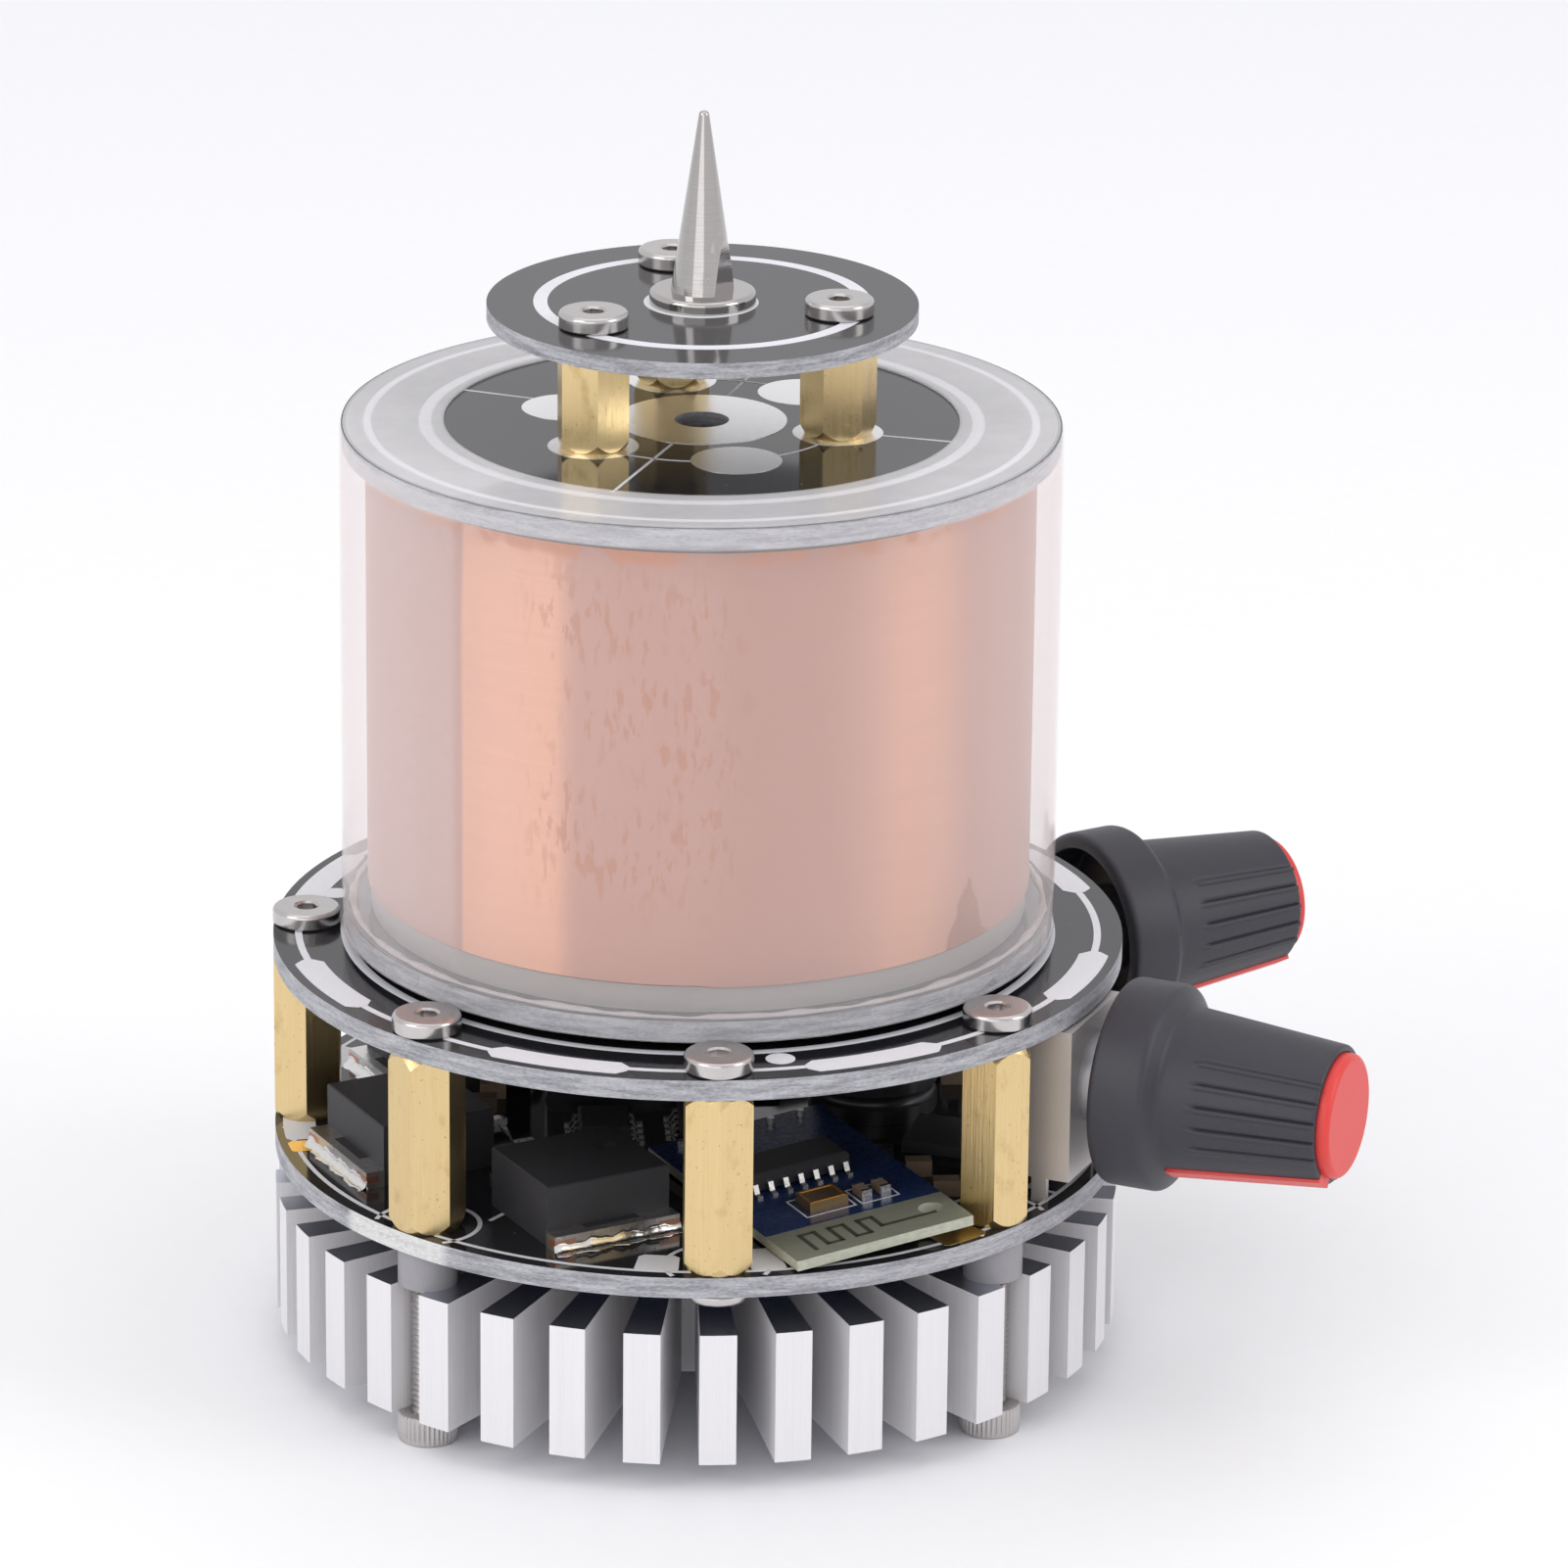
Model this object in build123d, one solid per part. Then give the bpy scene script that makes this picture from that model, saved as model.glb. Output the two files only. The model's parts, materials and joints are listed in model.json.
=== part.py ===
from build123d import *
import os
from math import cos, pi, radians, sin, sqrt

# A small bench resonant transformer: a finned heat sink on four screw feet, a driver board,
# brass columns, an upper board that carries the film-wrapped secondary coil, and a disc with
# a discharge spike on three brass posts. Two knobs stand out of the driver board's right side.
# Millimetres. Z is up from the plane that the four feet stand on, through the middle of the
# boards. An azimuth is 0 at the front, -Y, and 90 at the right, +X.

# Screws. Threads are plain, and each shank has its clearance all round. A low head is given by its
# diameter, its height and the round of its rim: one kind on top of boards, a flatter one beneath.
thread_dia = 2.5
thread_clearance = 0.05
top_head = (5.2, 1.3, 0.35)
under_head = (5.0, 0.85, 0.4)
head_under_round = 0.2
head_key_flats = 1.5
head_key_share = 0.58
key_mouth_dia = 2.0
key_mouth_depth = 0.15
cap_head_dia = 4.6
cap_head_height = 2.3
cap_key_flats = 2.0
cap_key_depth = 0.8

# Boards and the columns between them: azimuth of each column, and the turn of its hexagon.
board_dia = 65.0
board_thick = 1.6
column_edge_margin = 2.5
column_turns = {0: 0, 45: 10, 135: 12, 180: 25, 225: 8, 266: 31, 315: 19}
column_flats = 5.0
column_end_dia = 4.9
column_chamfer_height = 0.8
column_turning_spare = 0.2
column_height = 14.0
column_screw_gap = 3.0
foot_azimuths = (45, 135, 225, 315)

# Heat sink, its spacers and the pad that leads heat down to it.
sink_hub_dia = 30.0
sink_height = 10.4
fin_count = 36
fin_root_width = 1.6
fin_screw_clearance = 0.07
fin_sunk = 3.0
spacer_dia = 4.5
spacer_height = 3.0
pad_dia = 36.0

# Secondary coil between its two end boards, and the clear film shrunk over it.
coil_base_gap = 0.9
coil_washer_dia = 5.0
board_ledge = 5.45
coil_board_thick = 1.6
wire_hole_dia = 4.0
coil_board_overhang = 2.05
former_wall = 1.5
former_height = 36.4
winding_thick = 0.24
winding_clearance = 0.02
winding_bottom_margin = 2.0
winding_top_margin = 0.8
film_thick = 0.12
film_clearance = 0.05
film_fold_width = 7.6
base_screw_circle_dia = 30.0
base_screw_azimuths = (60, 180, 300)
base_nut_flats = 5.0
base_nut_height = 2.0

# Terminal: three posts, the disc on them and the spike.
post_circle_dia = 21.2
post_turns = {-52.5: -3, 70.5: 23, 189.5: 25}
post_height = 8.0
post_screw_gap = 2.0
disc_dia = 32.3
disc_thick = 1.2
spike_height = 14.7
spike_flange_dia = 8.0
spike_flange_height = 1.0
spike_flange_round = 0.35
spike_base_dia = 4.8
spike_tip_dia = 0.7
spike_tip_flat = 0.14
spike_flat_azimuth = 60.0
spike_flat_reach = 1.8
spike_screw_reach = 4.0
spike_screw_gap = 0.05

# Potentiometers: azimuth of each axis, with the case standing off the driver board.
pot_azimuths = {"front": 63.0, "rear": 117.0}
pot_overhang = 0.3
pot_case_width = 9.8
pot_case_depth = 7.4
pot_case_wall = 0.5
pot_foot_gap = 1.8
pot_top_gap = 0.2
pot_axis_rise = 1.0
pot_bushing_dia = 7.0
pot_bushing_length = 5.0
pot_shaft_dia = 6.0
pot_shaft_length = 15.0
pot_shaft_clearance = 0.05
pot_rotor_thick = 1.6
pot_rotor_gap = 0.5
pot_wafer_thick = 1.0
pot_leg_width = 1.2
pot_leg_inset = 2.4
pot_pin_pitch = 2.5
pot_pin_width = 0.8
pot_pin_thick = 0.3
pot_pin_height = 3.0

# Knobs: black body with a skirt, and a red insert that is its end cap and its pointer.
knob_gap = 2.3
knob_length = 17.2
knob_skirt_dia = 15.8
knob_skirt_length = 4.2
knob_shoulder_length = 0.9
knob_base_dia = 12.8
knob_end_dia = 10.6
knob_wall = 1.2
knob_back_round = 0.6
knob_end_round = 0.3
knob_hub_gap = 0.6
knob_fit = 0.02
knob_pointer_turn = 30.0
pointer_width = 2.2
pointer_depth = 1.3
pointer_proud = 0.12
insert_clearance = 0.03
cap_dia = 9.5
cap_seat = 1.1
cap_proud = 0.9
cap_round = 0.5
groove_offsets = (36.0, 52.5, 69.0, 85.5, 102.0)
groove_width = 0.5
groove_depth = 0.3
groove_start = 7.6

# Power transistors: radius and azimuth of each body, and the azimuth that its tab faces.
transistors = ((22.0, -26.3, 25.0), (23.3, -72.4, -66.0), (21.3, -117.3, -65.0), (21.3, 152.7, 205.0))
transistor_width = 10.2
transistor_length = 9.2
transistor_height = 4.7
transistor_edge = 0.1
tab_width = 10.4
tab_thick = 1.3
tab_reach = 1.5
tab_heel_width = 8.0
tab_heel_length = 6.5
nub_width = 4.6
nub_depth = 0.75
lead_spacing = 5.08
lead_width = 0.8
lead_thick = 0.5
lead_exit_height = 2.3
lead_shoulder = 1.5
lead_reach = 4.6
lead_foot = 1.8
lead_bend_share = 0.6

# Radio module, propped on its pins and tilted about its long axis.
radio_azimuth = 23.5
radio_front_margin = 0.9
radio_length = 25.0
radio_width = 14.7
radio_thick = 0.8
radio_tilt = 4.3
radio_gap = 0.2
radio_hole_dia = 1.9
radio_hole_inset = 3.0
radio_hole_edge = 2.0
radio_pin_dia = 0.6
radio_pin_clearance = 0.05
radio_pin_pitch = 2.54
radio_pin_count = 5
radio_pin_inset = 1.2
radio_pin_hole_dia = 1.1
radio_pin_head = 0.5
crystal_size = (2.5, 3.2, 0.8)
crystal_place = (-8.3, 6.3)
radio_capacitor_size = (1.6, 0.8, 0.7)
radio_capacitor_places = ((-7.9, 9.5), (-7.9, 11.1))
radio_chip_place = (-14.6, 6.0)

# Small-outline chips: lead pitch and width are shared, the body grows with the leads per side.
chip_pitch = 1.27
chip_end_margin = 0.5
chip_depth = 3.9
chip_height = 1.5
chip_standoff = 0.15
chip_span = 6.0
chip_lead_width = 0.42
chip_lead_thick = 0.2
chip_lead_shoulder = 0.2
chip_lead_foot = 0.47
front_chip_offsets = ((-9.93, 2.45), (-2.23, 3.45))
rear_chip_place = (2.4, 11.6)
driver_leads_per_side = 4
radio_leads_per_side = 8

# Other parts on the driver board.
controller_inset = 12.5
controller_azimuth = 72.0
controller_side = 6.0
controller_height = 0.9
reservoir_inset = 18.5
reservoir_azimuth = 100.0
reservoir_dia = 10.0
reservoir_round = 0.5
reservoir_crimp_height = 1.7
reservoir_crimp_radius = 0.6
reservoir_crimp_depth = 0.35
reservoir_headroom = 2.5
tank_offset = (-7.63, 10.05)
tank_size = (13.0, 6.0)
tank_headroom = 3.0
tank_edge = 0.5
wire_lead_dia = 0.6
wire_lead_spacing = 5.0
resistor_size = (2.0, 1.25, 0.55)
tank_resistor_offsets = ((-3.0, 5.2), (0.2, 5.2))
resistor_places = ((-4.6, -12.2), (-4.1, -15.0), (13.6, -8.4), (24.2, -1.6), (24.2, 1.6),
                   (-11.6, -7.9), (5.6, 3.6), (5.6, 6.2), (1.0, 16.4), (1.0, 18.8))
capacitor_size = (2.0, 1.25, 1.25)
capacitor_places = ((16.2, -12.6), (18.0, -16.6), (3.4, 1.0), (-16.4, 1.6), (-15.6, 4.6),
                    (20.4, 6.4), (17.6, 10.6), (-16.0, 20.5))

# Power inlet at the back.
jack_azimuth = 200.0
jack_setback = 0.2
jack_length = 14.0
jack_width = 9.0
jack_headroom = 3.0
jack_edge = 0.4
jack_bore_dia = 6.4
jack_bore_depth = 10.0
jack_axis_height = 6.4
jack_pin_dia = 2.0
jack_pin_length = 9.0
jack_pin_round = 0.4
jack_terminal_dia = 1.0
jack_terminal_places = ((-13.0, 0.0), (-7.0, 0.0), (-10.0, 3.4))
hole_clearance = 0.1

# Heights of the stack, from the feet up.
sink_bottom = cap_head_height
sink_top = sink_bottom + sink_height
lower_bottom = sink_top + spacer_height
lower_top = lower_bottom + board_thick
upper_bottom = lower_top + column_height
upper_top = upper_bottom + board_thick
coil_bottom = upper_top + coil_base_gap
former_bottom = coil_bottom + coil_board_thick
former_top = former_bottom + former_height
coil_top = former_top + coil_board_thick
disc_bottom = coil_top + post_height
disc_top = disc_bottom + disc_thick

# Sizes that follow from the ones above.
screw_hole_radius = thread_dia / 2 + thread_clearance
column_reach = (column_height - column_screw_gap) / 2
post_reach = (post_height - post_screw_gap) / 2
column_circle = board_dia / 2 - column_edge_margin
fin_pitch = 2 * pi * column_circle / fin_count
fin_width = fin_pitch - thread_dia - 2 * fin_screw_clearance
fin_slope = (fin_width - fin_root_width) / (column_circle - sink_hub_dia / 2)
coil_board_dia = board_dia - 2 * board_ledge
former_dia = coil_board_dia - 2 * coil_board_overhang
post_circle = post_circle_dia / 2
pot_face = board_dia / 2 + pot_overhang
pot_case_height = column_height - pot_foot_gap - pot_top_gap
pot_axis_height = lower_top + pot_foot_gap + pot_case_height / 2 + pot_axis_rise
pot_rotor_dia = min(pot_case_width, pot_case_height - 2 * pot_axis_rise) - 2 * (pot_case_wall + pot_rotor_gap)
knob_cavity = pot_bushing_length - knob_gap + knob_hub_gap
knob_bore_depth = pot_shaft_length - knob_gap + 2 * insert_clearance
radio_front_radius = board_dia / 2 - radio_front_margin
jack_mouth = board_dia / 2 - jack_setback


def polar(radius, azimuth):
    """Plan position at a radius and an azimuth."""
    turn = radians(azimuth)
    return (radius * sin(turn), -radius * cos(turn))


def outward(azimuth, radius=0.0, height=0.0):
    """Frame at a polar place: X points outward, Y the way azimuths grow, Z up."""
    x, y = polar(radius, azimuth)
    return Pos(x, y, height) * Rot(0, 0, azimuth - 90)


def block(x_low, x_high, y_low, y_high, z_low, z_high):
    """Box between its limits."""
    size = (x_high - x_low, y_high - y_low, z_high - z_low)
    return Pos(x_low, y_low, z_low) * Box(*size, align=(Align.MIN, Align.MIN, Align.MIN))


def post(radius, bottom, top):
    """Upright cylinder on the local Z axis."""
    return Pos(0, 0, bottom) * Cylinder(radius, top - bottom, align=(Align.CENTER, Align.CENTER, Align.MIN))


def rod(radius, start, end):
    """Cylinder along the local X axis."""
    return Rot(0, 90, 0) * post(radius, start, end)


def hexagon(flats, bottom, top):
    """Upright hexagonal prism, a corner towards +X."""
    outline = RegularPolygon(flats / 2, 6, major_radius=False)
    return Pos(0, 0, bottom) * extrude(outline, top - bottom)


def side_profile(points, half_width):
    """Outline in the local XZ plane, given a width along Y."""
    face = make_face(Plane.XZ * Polyline(*points, close=True))
    return extrude(face, half_width, both=True)


def spread(shape, places):
    """Copies of one shape at each place, as separate solids."""
    return Compound(children=[place * shape for place in places])


def ring_places(radius, azimuths, height=0.0):
    """One outward frame for each azimuth on a circle."""
    return [outward(azimuth, radius, height) for azimuth in azimuths]


# Screws and hexagonal spacers

def flat_screw(length, head_size):
    """Low round head above the seat at Z 0, hexagon key, and a plain shank below."""
    dia, height, rim_round = head_size
    head = post(dia / 2, 0, height)
    head = fillet(head.edges().group_by(Axis.Z)[-1], rim_round)
    head = fillet(head.edges().group_by(Axis.Z)[0], head_under_round)
    head -= hexagon(head_key_flats, height - height * head_key_share, height)
    mouth = Cone(key_mouth_dia / 2 - key_mouth_depth, key_mouth_dia / 2, key_mouth_depth)
    return head - Pos(0, 0, height - key_mouth_depth / 2) * mouth + post(thread_dia / 2, -length, 0)


def foot_screw():
    """Long socket-head screw: its head is a foot, its shank ends in the column."""
    head = post(cap_head_dia / 2, 0, cap_head_height)
    key = hexagon(cap_key_flats, 0, cap_key_depth)
    return head - key + post(thread_dia / 2, cap_head_height, lower_top + column_reach)


def hex_spacer(height):
    """Hexagonal brass spacer with turned ends and a hole from end to end."""
    end = column_end_dia / 2
    corner = column_flats / sqrt(3)
    side = corner + column_turning_spare
    rise = column_chamfer_height * (side - end) / (corner - end)
    points = ((0, 0), (end, 0), (side, rise), (side, height - rise), (end, height), (0, height))
    turned = revolve(make_face(Plane.XZ * Polyline(*points, close=True)), Axis.Z)
    return (hexagon(column_flats, 0, height) & turned) - post(screw_hole_radius, 0, height)


def hex_nut():
    """Nut on the coil's base screws."""
    return hexagon(base_nut_flats, 0, base_nut_height) - post(screw_hole_radius, 0, base_nut_height)


# Heat sink and boards

def heat_sink():
    """Solid hub with straight fins that widen outwards, cut round at their ends."""
    root = sink_hub_dia / 2
    tip = board_dia / 2
    start = root - fin_sunk
    start_half = (fin_root_width - fin_slope * fin_sunk) / 2
    end = tip + fin_root_width
    end_half = (fin_root_width + fin_slope * (end - root)) / 2
    corners = ((start, -start_half), (end, -end_half), (end, end_half), (start, start_half))
    fin = make_face(Polyline(*corners, close=True))
    outline = Circle(root)
    for number in range(fin_count):
        outline += Rot(0, 0, number * 360 / fin_count - 90) * fin
    outline = outline & Circle(tip)
    return Pos(0, 0, sink_bottom) * extrude(outline, sink_height)


def screw_holes(azimuths, circle, bottom, top):
    """Clearance holes for screws on one circle."""
    return spread(post(screw_hole_radius, bottom, top), ring_places(circle, azimuths))


def pot_pin_places(azimuth):
    """Frames of a potentiometer's three pins, behind its wafer."""
    radius = pot_face - pot_case_depth - pot_wafer_thick - pot_pin_thick / 2
    frame = outward(azimuth, radius)
    return [frame * Pos(0, step * pot_pin_pitch, 0) for step in (-1, 0, 1)]


def pot_leg_places(azimuth):
    """Frames of the two legs bent down from the sides of a potentiometer's case."""
    frame = outward(azimuth, pot_face - pot_leg_inset)
    side = (pot_case_width - pot_case_wall) / 2
    return [frame * Pos(0, sign * side, 0) for sign in (-1, 1)]


def radio_frame():
    """Frame of the radio module: X outward from its front edge, Y up its tilted width."""
    level = outward(radio_azimuth, radio_front_radius, lower_top + radio_gap)
    return level * Pos(0, -radio_width / 2, 0) * Rot(radio_tilt, 0, 0)


def radio_pin_offsets():
    """Places of the radio's pins across its rear end, in the module's own frame."""
    middle = radio_width / 2
    half = (radio_pin_count - 1) / 2
    rear = radio_pin_inset - radio_length
    return [(rear, middle + (step - half) * radio_pin_pitch) for step in range(radio_pin_count)]


def radio_hole_places():
    """Board holes under the radio's pins, upright and wide enough for their tilt."""
    tilt = radians(radio_tilt)
    frame = outward(radio_azimuth, radio_front_radius)
    drop = (radio_gap + board_thick / 2) * sin(tilt)
    return [frame * Pos(x, y * cos(tilt) - radio_width / 2 + drop, 0) for x, y in radio_pin_offsets()]


def from_radio(offset):
    """Plan position given from the middle of the radio module's rear end."""
    x, y = polar(radio_front_radius - radio_length, radio_azimuth)
    return (x + offset[0], y + offset[1])


def reservoir_centre():
    return polar(board_dia / 2 - reservoir_inset, reservoir_azimuth)


def wire_lead_places(centre):
    """Two lead places either side of a centre, along X."""
    x, y = centre
    return [Pos(x + sign * wire_lead_spacing / 2, y, 0) for sign in (-1, 1)]


def jack_terminal_frames():
    """Frames of the power inlet's three pins."""
    frame = outward(jack_azimuth, jack_mouth)
    return [frame * Pos(x, y, 0) for x, y in jack_terminal_places]


def lower_board():
    """Driver board, holed for the columns and for every part with leads."""
    board = post(board_dia / 2, lower_bottom, lower_top)
    board -= screw_holes(column_turns, column_circle, lower_bottom, lower_top)
    for azimuth in pot_azimuths.values():
        pin_hole = post(pot_pin_width / 2 + hole_clearance, lower_bottom, lower_top)
        leg_hole = post(pot_leg_width / 2 + hole_clearance, lower_bottom, lower_top)
        board -= spread(pin_hole, pot_pin_places(azimuth))
        board -= spread(leg_hole, pot_leg_places(azimuth))
    board -= spread(post(radio_pin_hole_dia / 2, lower_bottom, lower_top), radio_hole_places())
    lead_hole = post(wire_lead_dia / 2 + hole_clearance, lower_bottom, lower_top)
    for centre in (reservoir_centre(), from_radio(tank_offset)):
        board -= spread(lead_hole, wire_lead_places(centre))
    terminal_hole = post(jack_terminal_dia / 2 + hole_clearance, lower_bottom, lower_top)
    return board - spread(terminal_hole, jack_terminal_frames())


def upper_board():
    """Board under the coil, holed for the columns and the coil's base screws."""
    board = post(board_dia / 2, upper_bottom, upper_top)
    board -= screw_holes(column_turns, column_circle, upper_bottom, upper_top)
    return board - screw_holes(base_screw_azimuths, base_screw_circle_dia / 2, upper_bottom, upper_top)


# Coil

def coil_bottom_board():
    board = post(coil_board_dia / 2, coil_bottom, former_bottom)
    return board - screw_holes(base_screw_azimuths, base_screw_circle_dia / 2, coil_bottom, former_bottom)


def coil_top_board():
    board = post(coil_board_dia / 2, former_top, coil_top) - post(wire_hole_dia / 2, former_top, coil_top)
    return board - screw_holes(post_turns, post_circle, former_top, coil_top)


def coil_former():
    radius = former_dia / 2
    return post(radius, former_bottom, former_top) - post(radius - former_wall, former_bottom, former_top)


def secondary_winding():
    """One close layer of hair-fine wire, which shows as a smooth sleeve on the former."""
    bottom = former_bottom + winding_bottom_margin
    top = former_top - winding_top_margin
    inner = former_dia / 2 + winding_clearance
    return post(inner + winding_thick, bottom, top) - post(inner, bottom, top)


def coil_film():
    """Clear tube shrunk over both end boards and folded in over the upper one."""
    inner = coil_board_dia / 2 + film_clearance
    seat = coil_top + film_clearance
    shell = post(inner + film_thick, coil_bottom, seat + film_thick) - post(inner, coil_bottom, seat)
    return shell - post(coil_board_dia / 2 - film_fold_width, seat, seat + film_thick)


# Terminal

def top_disc():
    disc = post(disc_dia / 2, disc_bottom, disc_top) - post(screw_hole_radius, disc_bottom, disc_top)
    return disc - screw_holes(post_turns, post_circle, disc_bottom, disc_top)


def terminal_spike():
    """Turned spike: round-edged flange, straight cone and a dulled point, tapped from below."""
    flange = post(spike_flange_dia / 2, 0, spike_flange_height)
    flange = fillet(flange.edges().group_by(Axis.Z)[-1], spike_flange_round)
    cone_height = spike_height - spike_flange_height
    cone = Pos(0, 0, spike_flange_height) * Cone(
        spike_base_dia / 2, spike_tip_dia / 2, cone_height, align=(Align.CENTER, Align.CENTER, Align.MIN))
    cone = fillet(cone.edges().group_by(Axis.Z)[-1], (spike_tip_dia - spike_tip_flat) / 2)
    flat = block(spike_flat_reach, spike_flange_dia, -spike_base_dia, spike_base_dia,
                 spike_flange_height, spike_height)
    cone -= Rot(0, 0, spike_flat_azimuth - 90) * flat
    tapped = post(screw_hole_radius, 0, spike_screw_reach)
    return Pos(0, 0, disc_top) * (flange + cone - tapped)


# Potentiometers and knobs, each built along the local X axis with the panel face at pot_face

def pot_case():
    """Folded metal case, open at the back, with a leg down each side into the board."""
    bottom = lower_top + pot_foot_gap
    top = bottom + pot_case_height
    half = pot_case_width / 2
    back = pot_face - pot_case_depth
    case = block(back, pot_face, -half, half, bottom, top)
    wall = pot_case_wall
    case -= block(back, pot_face - wall, wall - half, half - wall, bottom + wall, top - wall)
    leg = block(-pot_leg_width / 2, pot_leg_width / 2, -wall / 2, wall / 2, lower_bottom, bottom)
    for sign in (-1, 1):
        case += Pos(pot_face - pot_leg_inset, sign * (pot_case_width - wall) / 2, 0) * leg
    hole = rod(pot_shaft_dia / 2 + pot_shaft_clearance, back, pot_face)
    return case - Pos(0, 0, pot_axis_height) * hole


def pot_bushing():
    bushing = rod(pot_bushing_dia / 2, pot_face, pot_face + pot_bushing_length)
    bushing -= rod(pot_shaft_dia / 2 + pot_shaft_clearance, pot_face, pot_face + pot_bushing_length)
    return Pos(0, 0, pot_axis_height) * bushing


def pot_wafer():
    """Phenolic plate that closes the back of the case and carries the pins."""
    bottom = lower_top + pot_foot_gap
    back = pot_face - pot_case_depth
    half = pot_case_width / 2
    return block(back - pot_wafer_thick, back, -half, half, bottom, bottom + pot_case_height)


def pot_pins(azimuth):
    """Three flat pins from the back of the wafer down through the board."""
    half = pot_pin_width / 2
    pin = block(-pot_pin_thick / 2, pot_pin_thick / 2, -half, half,
                lower_bottom, lower_top + pot_foot_gap + pot_pin_height)
    return spread(pin, pot_pin_places(azimuth))


def pot_shaft():
    """Shaft with the wiper's rotor on its inner end, running in the bushing."""
    inside = pot_face - pot_case_wall - pot_rotor_gap
    rotor = rod(pot_rotor_dia / 2, inside - pot_rotor_thick, inside)
    return Pos(0, 0, pot_axis_height) * (rotor + rod(pot_shaft_dia / 2, inside, pot_face + pot_shaft_length))


def cone_radius(station):
    """Radius of the knob's tapered grip at a distance from its back face."""
    start = knob_skirt_length + knob_shoulder_length
    share = (station - start) / (knob_length - start)
    return (knob_base_dia + (knob_end_dia - knob_base_dia) * share) / 2


def pointer_blade(clearance):
    """Blade of the insert under the grip's pointer line, with room all round if asked for."""
    inner = cap_dia / 2 - pointer_depth - clearance
    start = knob_skirt_length + knob_shoulder_length
    proud = pointer_proud + clearance
    points = (
        (start - clearance, inner),
        (start - clearance, cone_radius(start) + proud),
        (knob_length, cone_radius(knob_length) + proud),
        (knob_length, inner),
    )
    return side_profile(points, pointer_width / 2 + clearance)


def knob_grooves():
    """Fine grooves along the grip, either side of the pointer."""
    deep = cone_radius(knob_length) - groove_depth
    points = (
        (groove_start, cone_radius(groove_start) - groove_depth),
        (groove_start, knob_skirt_dia / 2),
        (knob_length, knob_skirt_dia / 2),
        (knob_length, deep),
    )
    groove = side_profile(points, groove_width / 2)
    return spread(groove, [Rot(sign * offset, 0, 0) for sign in (-1, 1) for offset in groove_offsets])


def knob_body():
    """Skirted knob, hollow behind, with its hub on the shaft and a seat for the cap."""
    bore = pot_shaft_dia / 2 + knob_fit
    seat = knob_length - cap_seat
    inner = knob_skirt_dia / 2 - knob_wall
    cap_room = cap_dia / 2 + insert_clearance
    profile = (
        (knob_cavity, bore), (knob_cavity, inner), (0, inner), (0, knob_skirt_dia / 2),
        (knob_skirt_length, knob_skirt_dia / 2),
        (knob_skirt_length + knob_shoulder_length, knob_base_dia / 2),
        (knob_length, knob_end_dia / 2), (knob_length, cap_room), (seat, cap_room), (seat, 0),
        (knob_bore_depth, 0), (knob_bore_depth, bore),
    )
    body = revolve(make_face(Plane.XZ * Polyline(*profile, close=True)), Axis.X)
    circles = body.edges().filter_by(GeomType.CIRCLE)
    back = circles.sort_by(Axis.X)[:2].sort_by(SortBy.RADIUS)[-1]
    body = fillet(back, knob_back_round)
    front = body.edges().filter_by(GeomType.CIRCLE).sort_by(Axis.X)[-2:].sort_by(SortBy.RADIUS)[-1]
    body = fillet(front, knob_end_round)
    return body - pointer_blade(insert_clearance) - knob_grooves()


def knob_insert():
    """Red end cap and pointer in one piece."""
    seat = knob_length - cap_seat
    cap = rod(cap_dia / 2, seat, knob_length + cap_proud)
    cap = fillet(cap.edges().group_by(Axis.X)[-1], cap_round)
    return cap + pointer_blade(0)


def on_knob(shape):
    """Stand a knob part on its shaft, the pointer low on the side that azimuths fall."""
    return Pos(pot_face + knob_gap, 0, pot_axis_height) * Rot(180 - knob_pointer_turn, 0, 0) * shape


# Power transistors, built with the tab towards the local +X

def transistor_body():
    half_length = transistor_length / 2
    half_width = transistor_width / 2
    body = block(-half_length, half_length, -half_width, half_width, 0, transistor_height)
    body = chamfer(body.edges().group_by(Axis.Z)[-1], transistor_edge)
    return body + nub() - transistor_tab()


def nub():
    """Tongue of moulding that runs out over the middle of the tab."""
    edge = transistor_length / 2
    return block(edge - nub_depth, edge + nub_depth, -nub_width / 2, nub_width / 2, tab_thick / 2, tab_thick)


def transistor_tab():
    edge = transistor_length / 2
    plate = block(edge, edge + tab_reach, -tab_width / 2, tab_width / 2, 0, tab_thick)
    heel = block(edge - tab_heel_length, edge, -tab_heel_width / 2, tab_heel_width / 2, 0, tab_thick)
    return plate + heel - nub()


def bent_lead(start, shoulder, reach, foot, exit_height, thick, width):
    """Lead that leaves a body level, bends down and ends in a flat foot, towards -X."""
    bend = thick * lead_bend_share
    fall = shoulder + bend
    heel = reach - foot
    points = (
        (-start, exit_height), (-start, exit_height + thick), (-start - fall, exit_height + thick),
        (-start - heel, thick), (-start - reach, thick), (-start - reach, 0),
        (-start - heel - bend, 0), (-start - shoulder, exit_height),
    )
    return side_profile(points, width / 2)


def transistor_leads():
    lead = bent_lead(
        transistor_length / 2, lead_shoulder, lead_reach, lead_foot, lead_exit_height, lead_thick, lead_width)
    return [Pos(0, sign * lead_spacing / 2, 0) * lead for sign in (-1, 1)]


def transistor_frames():
    """Each transistor's frame on the driver board, X the way its tab faces."""
    frames = []
    for radius, azimuth, facing in transistors:
        x, y = polar(radius, azimuth)
        frames.append(Pos(x, y, lower_top) * Rot(0, 0, facing - 90))
    return frames


# Small-outline chips, built with their rows of leads facing +X and -X

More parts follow.
